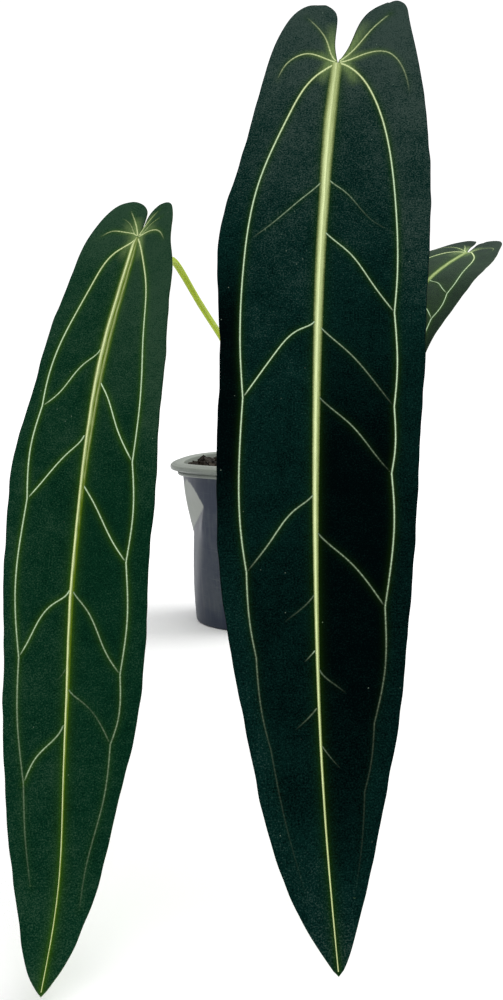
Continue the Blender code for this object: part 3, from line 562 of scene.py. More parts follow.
def through(points):
    """A curve through points, by the distance along them, and its length."""
    points = np.asarray(points, dtype=float)
    steps = np.linalg.norm(np.diff(points, axis=0), axis=1)
    knots = np.concatenate([[0.0], np.cumsum(steps)])
    return Curve(knots, points), knots[-1]


def unit(vectors):
    """Vectors scaled to length 1."""
    return vectors / np.linalg.norm(vectors, axis=-1, keepdims=True)


def smooth(value):
    """Rises softly from 0 to 1 while the value does."""
    value = np.clip(value, 0.0, 1.0)
    return value * value * (3 - 2 * value)


def rings(away, table):
    """Soft light or colour round a line: a sum of bells, each with its own strength and width."""
    return sum(strength * np.exp(-(away / width) ** 2) for strength, width in table)


def trace_runs(runs, step):
    """Points every step along smooth runs that meet at kinks."""
    pieces = []
    for run in runs:
        curve, length = through(run)
        count = max(int(round(length / step)), 2)
        points = curve(np.linspace(0, length, count + 1))
        pieces.append(points if not pieces else points[1:])
    return np.concatenate(pieces)


class Blade:
    """Maps the flat leaf, x across and y from the stalk toward the tip in millimetres, into space."""

    def __init__(self, leaf):
        self.leaf = leaf
        self.spine, self.length = through(leaf["spine_mm"])
        self.turn = self.along(leaf["turn"])
        self.fold = self.along(leaf["fold"])
        self.curl = self.along(leaf["curl"])
        self.halves = {}
        for side in ("left", "right"):
            inner, inner_length = through(leaf[side + "_sinus"])
            outer, outer_length = through(leaf[side + "_margin"])
            self.halves[side] = (inner, inner_length, outer, outer_length)
        down = np.clip(self.length * np.linspace(0, 1, MIDRIB_ROWS) ** 1.15, 0.05, self.length - 1.2)
        rows, centres, self.midrib_halves = np.transpose(leaf["midrib_mm"])
        self.midrib_rows = rows * self.length / rows[-1]
        self.midrib = np.stack([np.interp(down, self.midrib_rows, centres), down], axis=-1)
        self.veins = []
        for kind, *runs in leaf["veins"]:
            power = None if kind == "collective" else runs.pop(0)
            first = runs[0][0]
            leaves = 0.3 if kind in ("collective", "lobe") else first[1] - VEIN_LEAVES_MIDRIB_MM
            runs[0] = ((0.0, leaves), *runs[0])
            points = trace_runs(runs, VEIN_STEP_MM)
            self.veins.append((kind, points, self.strength(power, np.linspace(0, 1, len(points)))))
        self.borders = {}
        for kind, points, _ in self.veins:
            if kind == "collective":
                side = "left" if points[-1, 0] < 0 else "right"
                self.borders[side] = points[np.argsort(points[:, 1])]

    def strength(self, power, gone):
        """How strongly a vein shows along its way; a collective vein has no power of its own and fades."""
        if power is None:
            return np.interp(gone, *np.transpose(self.leaf["vein_fade"]))
        return np.interp(gone, (0, 0.5, 1), power)

    def along(self, table):
        """A curve of a leaf table, stretched to the real length of the spine."""
        scale = self.length / table[-1][0]
        return Curve([row[0] * scale for row in table], [row[1:] for row in table])

    def frame(self, y):
        """Place on the spine, and the directions ahead, across and up there."""
        inside = np.clip(y, 0.0, self.length)
        start = np.clip(inside, 0.0, self.length - SPINE_STEP_MM)
        ahead = unit(self.spine(start + SPINE_STEP_MM) - self.spine(start))
        place = self.spine(inside) + ahead * (y - inside)[:, None]
        angle = np.radians(self.turn(inside)[:, 0])
        across = np.stack([np.cos(angle), np.sin(angle), np.zeros_like(angle)], axis=-1)
        across = unit(across - ahead * np.sum(across * ahead, axis=-1, keepdims=True))
        return place, ahead, across, np.cross(ahead, across)

    def half_width(self, x, y):
        """Distance in x from the middle of the leaf to its margin, on the side that x is on."""
        left, right = (
            outer(np.linspace(0, length, 160)) for _, _, outer, length in self.halves.values()
        )
        left_width = np.interp(y, left[:, 1], -left[:, 0])
        right_width = np.interp(y, right[:, 1], right[:, 0])
        return np.maximum(np.where(x > 0, right_width, left_width), LEAST_HALF_MM)

    @staticmethod
    def away_from(points, x, y):
        """Distance from flat places to the nearest of some points, and which point that is."""
        best = np.full(len(x), 1e9)
        which = np.zeros(len(x), dtype=int)
        for start in range(0, len(x), 4000):
            part = slice(start, start + 4000)
            gap = (x[part, None] - points[None, :, 0]) ** 2 + (y[part, None] - points[None, :, 1]) ** 2
            which[part] = gap.argmin(axis=1)
            best[part] = gap.min(axis=1)
        return np.sqrt(best), which

    def relief(self, x, y):
        """Waves at the margin and the swell of the blade between its veins."""
        reach = np.clip(np.abs(x) / self.half_width(x, y), 0.0, 1.0)
        height, length, phase = self.leaf["wave"]
        shift = np.where(x > 0, RIGHT_WAVE_SHIFT, 0.0)
        waves = height * reach ** 2 * np.sin(2 * math.pi * y / length + phase + shift)
        everything = np.concatenate([self.midrib] + [points for _, points, _ in self.veins])
        away, _ = self.away_from(everything, x, y)
        swell = self.leaf["swell"] * smooth(away / SWELL_REACH_MM) * (1.0 - reach ** 4)
        return waves + swell

    def place(self, x, y):
        """Points of the upper face in millimetres, and the directions out of it."""
        centre, ahead, across, up = self.frame(y)
        inside = np.clip(y, 0.0, self.length)
        column = np.where(x > 0, 1, 0)
        rows = np.arange(len(x))
        fold = np.radians(self.fold(inside)[rows, column])
        curl = np.radians(self.curl(inside)[rows, column])
        reach = np.abs(x)
        lean = fold - curl * reach
        out = np.sign(x) * reach * np.cos(lean)
        lift = reach * np.sin(lean)
        tilt = fold - 2 * curl * reach
        tilt_side = np.sign(x) * np.sin(tilt)
        normal = unit(up * np.cos(tilt)[:, None] - across * tilt_side[:, None])
        point = centre + across * out[:, None] + up * lift[:, None]
        return point + normal * self.relief(x, y)[:, None], normal

    def flat_half(self, side, rows, columns):
        """Flat points of one half, as rows from the tip to the top of the lobe."""
        inner, inner_length, outer, outer_length = self.halves[side]
        fine = np.linspace(0, outer_length, 900)
        margin = outer(fine)
        body_rows = int(rows * BODY_ROWS)
        lobe_rows = rows - body_rows
        main = np.where(fine > outer_length * 0.12)[0]
        levels = self.length - (self.length - SHOULDER_MM) * np.linspace(0, 1, body_rows + 1) ** 0.93
        order = main[np.argsort(margin[main, 1])]
        inner_points = [(0.0, level) for level in levels]
        outer_points = []
        for level in levels:
            at = np.interp(level, margin[order, 1], fine[order])
            outer_points.append(tuple(outer(at)[0]))
        outer_points[0] = (0.0, self.length)
        start = np.interp(SHOULDER_MM, margin[order, 1], fine[order])
        inner_total = SHOULDER_MM + inner_length
        for step in range(1, lobe_rows + 1):
            share = step / lobe_rows
            gone = inner_total * share
            if gone < SHOULDER_MM:
                inner_points.append((0.0, SHOULDER_MM - gone))
            else:
                inner_points.append(tuple(inner(gone - SHOULDER_MM)[0]))
            outer_points.append(tuple(outer(start * (1 - share))[0]))
        inner_points[-1] = outer_points[-1]
        inside = np.array(inner_points)[:, None, :]
        outside = self.ripple(np.array(outer_points))[:, None, :]
        share = np.asarray(columns)[None, :, None]
        return inside * (1 - share) + outside * share

    def ripple(self, points):
        """Margin points with the small uneven waves of the real margin."""
        x, y = points[:, 0], points[:, 1]
        side = np.sign(x)
        waves = np.sin(y / 5.3 + side) * np.sin(y / 17.0 + 2 * side) + 0.5 * np.sin(y / 3.1 + 3 * side)
        waves = waves + 0.9 * np.sin(y / 11.7 + side) + 0.3 * np.sin(y / 1.9)
        size = MARGIN_RIPPLE_MM * np.clip((np.abs(x) - 2.0) / 10.0, 0.0, 1.0) * smooth((y - 4.0) / 20.0)
        return np.stack([x + np.sign(x) * size * waves, y], axis=-1)

    def midrib_width(self, y):
        """Half width of the midrib's ridge, in millimetres; its outer part takes the colour of the velvet."""
        return np.interp(y, self.midrib_rows, self.midrib_halves) / MIDRIB_COLOURED

    def glow(self, x, y):
        """How much the velvet beside the veins turns green, 0 to 1."""
        centre = np.interp(y, self.midrib[:, 1], self.midrib[:, 0])
        beside = np.maximum(np.abs(x - centre) - MIDRIB_COLOURED * self.midrib_width(y), 0.0)
        result = smooth((y + 4.0) / 6.0) * rings(beside, MIDRIB_GLOW)
        for _, points, strength in self.veins:
            away, near = self.away_from(points, x, y)
            result = np.maximum(result, strength[near] ** 0.75 * rings(away, VEIN_GLOW))
        return np.minimum(result, 1.0)

    def haze(self, x, y):
        """How much pale green spreads over the velvet, round the junction and between the vein roots."""
        result = 0.9 * np.exp(-((x ** 2 + (0.8 * y) ** 2) / JUNCTION_HAZE_MM ** 2))
        for width, amount, line in self.leaf["hazes"]:
            away, near = self.away_from(trace_runs([line], VEIN_STEP_MM), x, y)
            gone = near / max(near.max(), 1)
            result = np.maximum(result, amount * (1 - gone ** 1.6) * np.exp(-(away / width) ** 2))
        for kind, points, strength in self.veins:
            if kind == "lobe":
                away, near = self.away_from(points, x, y)
                fan = strength[near] * (1 - smooth(near / (len(points) - 1) * 1.4))
                result = np.maximum(result, 0.8 * fan * np.exp(-(away / HAZE_MM) ** 2))
        return result

    def tone(self, x, y):
        """Painted light and shade of the velvet with its own lightness, 0 to 1, between the veins and outside
        them.
        """
        result = np.zeros(len(x))
        for side, chosen in (("left", x <= 0), ("right", x > 0)):
            border = self.borders[side]
            vein = np.interp(y, border[:, 1], np.abs(border[:, 0]))
            outside = smooth((np.abs(x) - vein + 1.0) / 3.0)
            panel = np.interp(y, *np.transpose(self.leaf[side + "_panel"]))
            strip = np.interp(y, *np.transpose(self.leaf[side + "_strip"]))
            result[chosen] = (panel + (strip - panel) * outside)[chosen]
        return result


LEAF_LAYERS = ("vein", "light", "thin", "glow", "haze", "tone", "edge", "under")


def new_leaf_mesh():
    """An empty mesh with the layers that the leaf materials read."""
    work = bmesh.new()
    layers = {name: work.verts.layers.float.new(name) for name in LEAF_LAYERS}
    layers["flat"] = work.verts.layers.float_vector.new("flat")
    return work, layers


def paint(corners, layer, numbers):
    """Writes a number to a layer of each corner, or one number to them all."""
    for corner, number in zip(corners, np.broadcast_to(numbers, len(corners)).tolist()):
        corner[layer] = number


def lay_flat(corners, layer, x, y):
    """Writes the flat place of each corner, which the shaders take their noise from, in metres."""
    for corner, across, down in zip(corners, x.tolist(), y.tolist()):
        corner[layer] = (across * MM, down * MM, 0.0)


def add_blade(work, layers, blade, thickness_mm):
    """The blade as a closed sheet with a thin margin."""
    columns = np.concatenate([np.linspace(0.0, EVEN_COLUMNS_END, BLADE_COLUMNS), NEAR_MARGIN])
    wide = len(columns) - 1
    for side in ("left", "right"):
        points = blade.flat_half(side, blade.leaf["rows"], columns)
        tall = points.shape[0] - 1
        made = bmesh.ops.create_grid(work, x_segments=wide, y_segments=tall, size=1.0)["verts"]
        for corner in made:
            across = round((corner.co.x + 1) / 2 * wide)
            down = round((corner.co.y + 1) / 2 * tall)
            x, y = points[down, across]
            sinus = y < 0.5 and across == 0
            corner[layers["edge"]] = 1.0 if across == wide or sinus else 0.0
            corner.co = (x * MM, y * MM, 0.0)
    bmesh.ops.remove_doubles(work, verts=work.verts, dist=0.02 * MM)
    bmesh.ops.dissolve_degenerate(work, edges=work.edges, dist=0.005 * MM)
    bmesh.ops.recalc_face_normals(work, faces=work.faces)
    if sum(face.normal.z for face in work.faces) < 0:
        bmesh.ops.reverse_faces(work, faces=work.faces)
    bottom = list(work.verts)
    raised = bmesh.ops.extrude_face_region(work, geom=list(work.faces))["geom"]
    top = [item for item in raised if isinstance(item, bmesh.types.BMVert)]
    for corners, under in ((bottom, 1.0), (top, 0.0)):
        flat = np.array([corner.co[:2] for corner in corners]) / MM
        edge = np.array([corner[layers["edge"]] for corner in corners])
        x, y = flat[:, 0], flat[:, 1]
        point, normal = blade.place(x, y)
        sink = under * thickness_mm + MARGIN_THINNING_MM * (1 - 2 * under) * edge
        for corner, place in zip(corners, (point - normal * sink[:, None]) * MM):
            corner.co = place
        paint(corners, layers["glow"], blade.glow(x, y))
        paint(corners, layers["haze"], blade.haze(x, y))
        paint(corners, layers["tone"], blade.tone(x, y))
        paint(corners, layers["under"], under)
        lay_flat(corners, layers["flat"], x, y)
    bmesh.ops.recalc_face_normals(work, faces=work.faces)
    if work.calc_volume(signed=True) < 0:
        bmesh.ops.reverse_faces(work, faces=work.faces)


def add_ridge(work, layers, blade, path, ridge, colour, light, thin, thickness_mm, steps):
    """A vein along a flat path: a closed bar sunk in the blade, its crest above and its keel below it.

    ridge holds the half width, crest and depth at each point of the path, in millimetres. colour gives how
    strongly the vein colours each place across it, and light how bright, both for -1 to 1 across, left to
    right. thin is 1 for green veins and 0 for yellow ones. steps are the divisions over its upper side and
    its under side.
    """
    half_width, crest, depth = ridge
    over, beneath = steps
    around = over + beneath
    tall = len(path) - 1
    ahead = unit(np.gradient(path, axis=0))
    aside = np.stack([-ahead[:, 1], ahead[:, 0]], axis=-1)
    upper = np.linspace(-1, 1, over + 1)
    lower = np.linspace(1, -1, beneath + 1)[1:]
    across = np.concatenate([upper, lower])
    is_upper = np.arange(around + 1) <= over
    is_under = ~is_upper
    is_under[-1] = False
    bell = (1 - across ** 2) ** 2
    ends = np.ones(tall + 1)
    ends[0] = ends[-1] = 0.0
    flat = path[:, None, :] + aside[:, None, :] * (half_width * ends)[:, None, None] * across[None, :, None]
    x = flat[..., 0].ravel()
    y = flat[..., 1].ravel()
    point, normal = blade.place(x, y)
    half = thickness_mm / 2
    sunk = 0.06
    up = half - sunk + (crest[:, None] + sunk) * bell[None, :]
    down = -(half - sunk + (depth[:, None] + sunk) * bell[None, :])
    lift = np.where(is_under[None, :], down, up) * ends[:, None]
    place = (point + normal * (lift.ravel() - half)[:, None]) * MM
    place = place.reshape(tall + 1, around + 1, 3)
    made = bmesh.ops.create_grid(work, x_segments=around, y_segments=tall, size=1.0)["verts"]
    columns = [round((corner.co.x + 1) / 2 * around) for corner in made]
    rows = [round((corner.co.y + 1) / 2 * tall) for corner in made]
    for corner, row, column in zip(made, rows, columns):
        corner.co = place[row, column]
    shape = (tall + 1, around + 1)
    numbers = {
        "vein": np.broadcast_to(colour(-across), shape),
        "light": np.broadcast_to(light(-across), shape),
        "thin": np.broadcast_to(thin, shape),
        "glow": blade.glow(x, y).reshape(shape),
        "haze": blade.haze(x, y).reshape(shape),
        "tone": blade.tone(x, y).reshape(shape),
        "under": np.broadcast_to(is_under.astype(float), shape),
    }
    for name, values in numbers.items():
        paint(made, layers[name], values[rows, columns])
    lay_flat(made, layers["flat"], flat[rows, columns, 0], flat[rows, columns, 1])
    bmesh.ops.remove_doubles(work, verts=made, dist=0.001 * MM)


def core_colour(half_width, core, strength):
    """Colour across a thin vein: a bright core that fades softly to both sides."""
    def colour(across):
        away = np.abs(across)[None, :] * half_width
        table = [(peak, width * core[:, None]) for peak, width in CORE_RINGS]
        return rings(away, table) * strength[:, None]
    return colour


def core_light(across):
    """Brightness across a thin vein, full in its middle."""
    return 1 - 0.9 * across ** 2


def add_veins(work, layers, blade, settings):
    thickness = settings.blade_thickness / MM
    for kind, path, strength in blade.veins:
        half_width, thick, thin, crest, depth = VEIN_KINDS[kind]
        gone = np.linspace(0, 1, len(path))
        even = np.ones(len(path))
        fade = strength * np.minimum(1.0, (1 - gone) * len(path) / VEIN_END_POINTS)
        core = thin + (thick - thin) * np.exp(-VEIN_CORE_TAPER * gone)
        ridge = (half_width * even, crest * even, depth * (1 - VEIN_DEPTH_LOSS * gone))
        colour = core_colour(half_width, core, fade)
        fresh = smooth(np.hypot(path[:, 0], path[:, 1]) / FRESH_GREEN_MM)[:, None]
        add_ridge(work, layers, blade, path, ridge, colour, core_light, fresh, thickness, VEIN_STEPS)


def add_midrib(work, layers, blade, settings):
    thickness = settings.blade_thickness / MM
    path = blade.midrib
    width = blade.midrib_width(path[:, 1])
    taper = (1 - path[:, 1] / blade.length) ** 1.1
    crest = settings.midrib_crest / MM * (0.2 + 0.8 * taper)
    depth = settings.midrib_depth / MM * (0.15 + 0.85 * taper)
    first = np.transpose(blade.leaf["midrib_light"])
    last = np.transpose(blade.leaf["midrib_end_light"])
    start = (0.55 + 0.45 * smooth(path[:, 1] / blade.leaf["dull_mm"]))[:, None]
    change = smooth((path[:, 1] - MIDRIB_CHANGE_MM) / MIDRIB_BLEND_MM)[:, None]

    def colour(across):
        """Full over the coloured part of the ridge, then fading out."""
        return smooth((0.92 - np.abs(across)) / 0.6)[None, :]

    def light(across):
        """The pale lines of the midrib, which is dull at the stalk and has one line only towards the tip; a
        brighter left is a painted highlight and a darker right painted shade.
        """
        return start * (np.interp(across, *first) * (1 - change) + np.interp(across, *last) * change)

    add_ridge(
        work, layers, blade, path, (width, crest, depth), colour, light, 0.0, thickness, MIDRIB_STEPS,
    )


def tube(work, layer, points, radii, around):
    """A round bar along points, closed at both ends, with its length and girth on the flat layer."""
    points = np.asarray(points, dtype=float)
    radii = np.asarray(radii, dtype=float)
    ahead = unit(np.gradient(points, axis=0))
    side = np.cross(ahead[0], (0.0, 0.0, 1.0))
    if np.linalg.norm(side) < 0.05:
        side = np.cross(ahead[0], (1.0, 0.0, 0.0))
    sides = []
    for direction in ahead:
        side = unit(side - direction * np.dot(side, direction))
        sides.append(side)
    sides = np.array(sides)
    others = np.cross(ahead, sides)
    length = np.concatenate([[0.0], np.cumsum(np.linalg.norm(np.diff(points, axis=0), axis=1))])
    tall = len(points) - 1
    made = bmesh.ops.create_grid(work, x_segments=around, y_segments=tall, size=1.0)["verts"]
    for corner in made:
        column = round((corner.co.x + 1) / 2 * around)
        row = round((corner.co.y + 1) / 2 * tall)
        turn = 2 * math.pi * column / around
        radius = radii[row]
        corner[layer] = (math.sin(turn) * radius, float(length[row]), math.cos(turn) * radius)
        out = sides[row] * math.cos(turn) + others[row] * math.sin(turn)
        corner.co = points[row] + out * radius
    bmesh.ops.remove_doubles(work, verts=made, dist=1e-6)


def stalk_path(blade, settings):
    """Points of a stalk from the crown to the back of its blade, in metres."""
    thickness = settings.blade_thickness / MM
    point, normal = blade.place(np.zeros(1), np.full(1, STALK_ATTACH_MM))
    end = (point[0] - normal[0] * (thickness + 0.2)) * MM
    before = end - normal[0] * 0.0045
    approach = end - normal[0] * 0.0095
    way = blade.leaf["stalk_mm"]
    foot = np.array((way[0][0] * MM, way[0][1] * MM, CROWN_TOP - 0.0015))
    rise = foot + np.array((0.0, 0.0, 0.0135))
    middle = [np.array(place) * MM for place in way[1:]]
    return through([foot, rise, *middle, approach, before, end])


def rounded_ends(radii, length, places, start, end):
    """Radii closed to a point at the ends, with the roundness of a fingertip."""
    near = np.clip(np.minimum(places / start, (length - places) / end), 0.0, 1.0)
    return radii * np.sqrt(1 - (1 - near) ** 2)


def add_stalk(work, layer, blade, settings):
    """A stalk that is thick at its foot, slightly uneven, and swollen under the blade."""
    curve, length = stalk_path(blade, settings)
    knuckle = length - KNUCKLE_LENGTH
    cap = length - STALK_END_CAP
    places = np.concatenate([
        np.linspace(0, STALK_FOOT_CAP, 6)[:-1], np.linspace(STALK_FOOT_CAP, knuckle, 90)[:-1],
        np.linspace(knuckle, cap, 40)[:-1], np.linspace(cap, length, 6),
    ])
    foot = 1 - smooth(places / 0.035)
    in_knuckle = np.clip((places - length + KNUCKLE_LENGTH) / KNUCKLE_LENGTH, 0.0, 1.0)
    radii = STALK_RADIUS + (STALK_FOOT_RADIUS - STALK_RADIUS) * foot
    radii = radii + (KNUCKLE_RADIUS - STALK_RADIUS) * np.sin(math.pi * in_knuckle)
    radii = radii + 0.00006 * np.sin(places * 2 * math.pi / 0.0021) * np.sin(math.pi * in_knuckle)
    radii = radii * (1 + 0.025 * np.sin(places * 61) + 0.015 * np.sin(places * 143 + 1.0))
    radii = rounded_ends(radii, length, places, 0.001, STALK_END_CAP)
    tube(work, layer, curve(places), radii, STALK_SIDES)


def facet_reach(facet, angle, z, inset):
    """Distance from the axis to a facet of the dent, set inward by some depth."""
    turn, distance, height, lean = facet
    facing = math.cos(angle - math.pi - math.radians(turn))
    if facing < FACET_FACING:
        return 1.0
    return (distance + lean * (z - height) - inset) / facing


def rim_sag(angle, z):
    """How far the wall and rim hang down over the dent, fading toward the foot of the sag."""
    away = math.degrees(abs(math.remainder(angle - math.pi, 2 * math.pi))) / RIM_SAG_SPREAD
    share = (z - RIM_SAG_FOOT) / (POT_HEIGHT - LIP_DEPTH - STEP_DEPTH - RIM_SAG_FOOT)
    return RIM_SAG * math.exp(-away * away) * float(smooth(share))


def press_dent(work, layer):
    """Presses the wall in to the facets of the dent; each skin keeps its depth behind the outer face.

    The layer paints light on the plastic: the lit top of the rim, the lit inner wall over the mix, and a
    painted reflection on the upper facet.
    """
    for corner in work.verts:
        x, y, z = corner.co
        radius = math.hypot(x, y)
        if radius < 0.7 * BASE_RADIUS:
            continue
        angle = math.atan2(y, x)
        inset = max(0.0, wall_radius(z) - radius)
        corner.co.z = z - rim_sag(angle, z)
        # The rim is painted as lit from above, with painted shade on its side
        if z > POT_HEIGHT - LIP_DEPTH - STEP_DEPTH:
            under = smooth((POT_HEIGHT - 0.0012 - z) / 0.0030)
            corner[layer] = 1.0 - RIM_SHADE * under * smooth((radius - BODY_TOP_RADIUS) / 0.002)
            continue
        z = corner.co.z
        upper = facet_reach(DENT_UPPER, angle, z, inset)
        lower = facet_reach(DENT_LOWER, angle, z, inset)
        fade = smooth((DENT_BLEND_TOP - z) / DENT_BLEND_FADE)
        meeting = max(DENT_BLEND - abs(lower - radius), 0.0) * fade
        lower_wall = min(radius, lower) - meeting * meeting / (4 * DENT_BLEND)
        pressed = min(radius, max(upper, lower_wall))
        # Painted light on the inner wall over the mix, and a painted reflection on the upper facet
        if inset > 0.5 * WALL and z > SOIL_HEIGHT:
            corner[layer] = 1.0
        elif pressed < radius and upper > lower_wall:
            corner[layer] = 0.9
        corner.co.x = x * pressed / radius
        corner.co.y = y * pressed / radius


def wall_levels():
    """Heights of the rows of the wall, from the step under the rim down to the base."""
    top = POT_HEIGHT - LIP_DEPTH - STEP_DEPTH
    return [top + (BASE_CORNER - top) * row / WALL_ROWS for row in range(WALL_ROWS + 1)]


def wall_radius(z):
    """Outer radius of the undented wall at a height."""
    share = (z - BASE_CORNER) / (POT_HEIGHT - LIP_DEPTH - STEP_DEPTH - BASE_CORNER)
    return BASE_RADIUS + (BODY_TOP_RADIUS - BASE_RADIUS) * min(max(share, 0.0), 1.0)


def pot_profile():
    """Radius and height round the section of the pot, starting inside the rim."""
    top_of_body = POT_HEIGHT - LIP_DEPTH - STEP_DEPTH
    under_lip = POT_HEIGHT - LIP_DEPTH
    outer = [
        (BODY_TOP_RADIUS - 0.0012, POT_HEIGHT - 0.0014),
        (BODY_TOP_RADIUS - 0.0008, POT_HEIGHT - 0.0006),
        (BODY_TOP_RADIUS + 0.0002, POT_HEIGHT - 0.0001),
        (BODY_TOP_RADIUS + 0.0026, POT_HEIGHT),
        (RIM_RADIUS - 0.0040, POT_HEIGHT - 0.0002),
        (RIM_RADIUS - 0.0026, POT_HEIGHT - 0.0007),
        (RIM_RADIUS - 0.0020, POT_HEIGHT - 0.0012),
        (RIM_RADIUS - 0.0016, POT_HEIGHT - 0.0013),
        (RIM_RADIUS - 0.0008, POT_HEIGHT - 0.0014),
        (RIM_RADIUS - 0.0002, POT_HEIGHT - 0.0020),
        (RIM_RADIUS, POT_HEIGHT - 0.0029),
        (RIM_RADIUS, POT_HEIGHT - 0.0040),
        (RIM_RADIUS - 0.0004, POT_HEIGHT - 0.0048),
        (RIM_RADIUS - 0.0014, under_lip),
        (STEP_RADIUS + 0.0007, under_lip),
        (STEP_RADIUS - 0.0002, under_lip - 0.0007),
        (STEP_RADIUS - 0.0004, under_lip - 0.0014),
        (STEP_RADIUS + 0.0001, under_lip - 0.0022),
        (STEP_RADIUS + 0.0001, top_of_body + 0.0012),
        (STEP_RADIUS - 0.0006, top_of_body + 0.0004),
        (BODY_TOP_RADIUS + 0.0004, top_of_body),
    ]
    for height in wall_levels()[1:]:
        outer.append((wall_radius(height), height))
    outer += [
        (BASE_RADIUS - 0.0004, 0.0004),
        (BASE_RADIUS - BASE_CORNER, 0.0),
        (BASE_RADIUS - BASE_CORNER - 0.002, 0.0),
        (0.0, 0.0),
    ]
    inner = [(0.0, FLOOR_THICKNESS), (BASE_RADIUS - WALL - 0.0012, FLOOR_THICKNESS)]
    for height in reversed(wall_levels()):
        inner.append((wall_radius(height) - WALL, max(height, FLOOR_THICKNESS + 0.0008)))
    return outer + inner


def lathe(work, profile, sides, closed):
    """Spins a profile of radius and height round the Z axis."""
    corners = [work.verts.new((radius, 0.0, height)) for radius, height in profile]
    pairs = list(zip(corners, corners[1:]))
    if closed:
        pairs.append((corners[-1], corners[0]))
    edges = [work.edges.new(pair) for pair in pairs]
    bmesh.ops.spin(
        work, geom=corners + edges, cent=(0, 0, 0), axis=(0, 0, 1), angle=2 * math.pi, steps=sides,
        use_merge=True,
    )
    bmesh.ops.remove_doubles(work, verts=work.verts, dist=1e-6)
    bmesh.ops.dissolve_degenerate(work, edges=work.edges, dist=1e-7)
    bmesh.ops.recalc_face_normals(work, faces=work.faces)
    if work.calc_volume(signed=True) < 0:
        bmesh.ops.reverse_faces(work, faces=work.faces)


def new_object(context, work, name, sharp):
    """A shaded object from a finished mesh, with its sharp edges marked by angle in degrees."""
    mesh = bpy.data.meshes.new(name)
    work.to_mesh(mesh)
    work.free()
    mesh.shade_smooth()
    mesh.set_sharp_from_angle(angle=math.radians(sharp))
    item = bpy.data.objects.new(name, mesh)
    context.scene.collection.objects.link(item)
    return item


def apply_modifiers(item):
    """Replaces an object's mesh by the one that its modifiers give."""
    graph = bpy.context.evaluated_depsgraph_get()
    mesh = bpy.data.meshes.new_from_object(item.evaluated_get(graph))
    item.modifiers.clear()
    item.data = mesh


def declare(item, material, node):
    """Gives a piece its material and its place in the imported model."""
    item.data.materials.clear()
    item.data.materials.append(material)
    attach(item, "root")
    if node:
        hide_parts(node)


def shader_node(tree, kind, sockets=None, **settings):
    """A node of a shader tree; sockets takes values, or sockets to link from."""
    item = tree.nodes.new(kind)
    item.location = (220 * len(tree.nodes), 0)
    for key, value in settings.items():
        setattr(item, key, value)
    for key, value in (sockets or {}).items():
        if isinstance(value, bpy.types.NodeSocket):
            tree.links.new(value, item.inputs[key])
        else:
            item.inputs[key].default_value = value
    return item


def calculate(tree, operation, first, second, clamp=False):
    """The result of a sum on values or sockets."""
    sockets = {0: first, 1: second}
    return shader_node(tree, "ShaderNodeMath", sockets, operation=operation, use_clamp=clamp).outputs[0]


def multiply(tree, first, second, clamp=False):
    return calculate(tree, "MULTIPLY", first, second, clamp)


def add(tree, first, second, clamp=False):
    return calculate(tree, "ADD", first, second, clamp)


def mix_colours(tree, share, first, second, blend="MIX"):
    """Two colours mixed by a share of the second."""
    sockets = {0: share, 6: first, 7: second}
    return shader_node(tree, "ShaderNodeMix", sockets, data_type="RGBA", blend_type=blend).outputs[2]


def spread(tree, value, low, high, to_low=0.0, to_high=1.0):
    """A value carried from one range to another, and kept inside it."""
    sockets = {0: value, 1: low, 2: high, 3: to_low, 4: to_high}
    return shader_node(tree, "ShaderNodeMapRange", sockets, clamp=True).outputs[0]


def vary(tree, value, to_low, to_high):
    """A noise, which mostly lies between 0.3 and 0.7, carried to another range."""
    return spread(tree, value, 0.3, 0.7, to_low, to_high)


def stretch(tree, vector, scale):
    """Coordinates scaled by a factor of their own along each axis."""
    return shader_node(tree, "ShaderNodeMapping", {"Vector": vector, "Scale": scale}).outputs[0]


def attribute(tree, name, output="Fac"):
    return shader_node(tree, "ShaderNodeAttribute", attribute_name=name).outputs[output]


def noise(tree, vector, scale, detail=3.0, rough=0.55):
    sockets = {"Vector": vector, "Scale": scale, "Detail": detail, "Roughness": rough}
    return shader_node(tree, "ShaderNodeTexNoise", sockets).outputs["Fac"]


def node_group(name, inputs, outputs):
    """An empty shader group with named sockets, and its input and output nodes."""
    tree = bpy.data.node_groups.new(name, "ShaderNodeTree")
    for label, kind, default in inputs:
        socket = tree.interface.new_socket(name=label, in_out="INPUT", socket_type="NodeSocket" + kind)
        socket.default_value = default
    for label, kind in outputs:
        tree.interface.new_socket(name=label, in_out="OUTPUT", socket_type="NodeSocket" + kind)
    return tree, tree.nodes.new("NodeGroupInput"), tree.nodes.new("NodeGroupOutput")


def close_group(tree, output, **sockets):
    """Links the results of a group to its named outputs."""
    for name, socket in sockets.items():
        tree.links.new(socket, output.inputs[name])
    output.location = (220 * len(tree.nodes), 0)


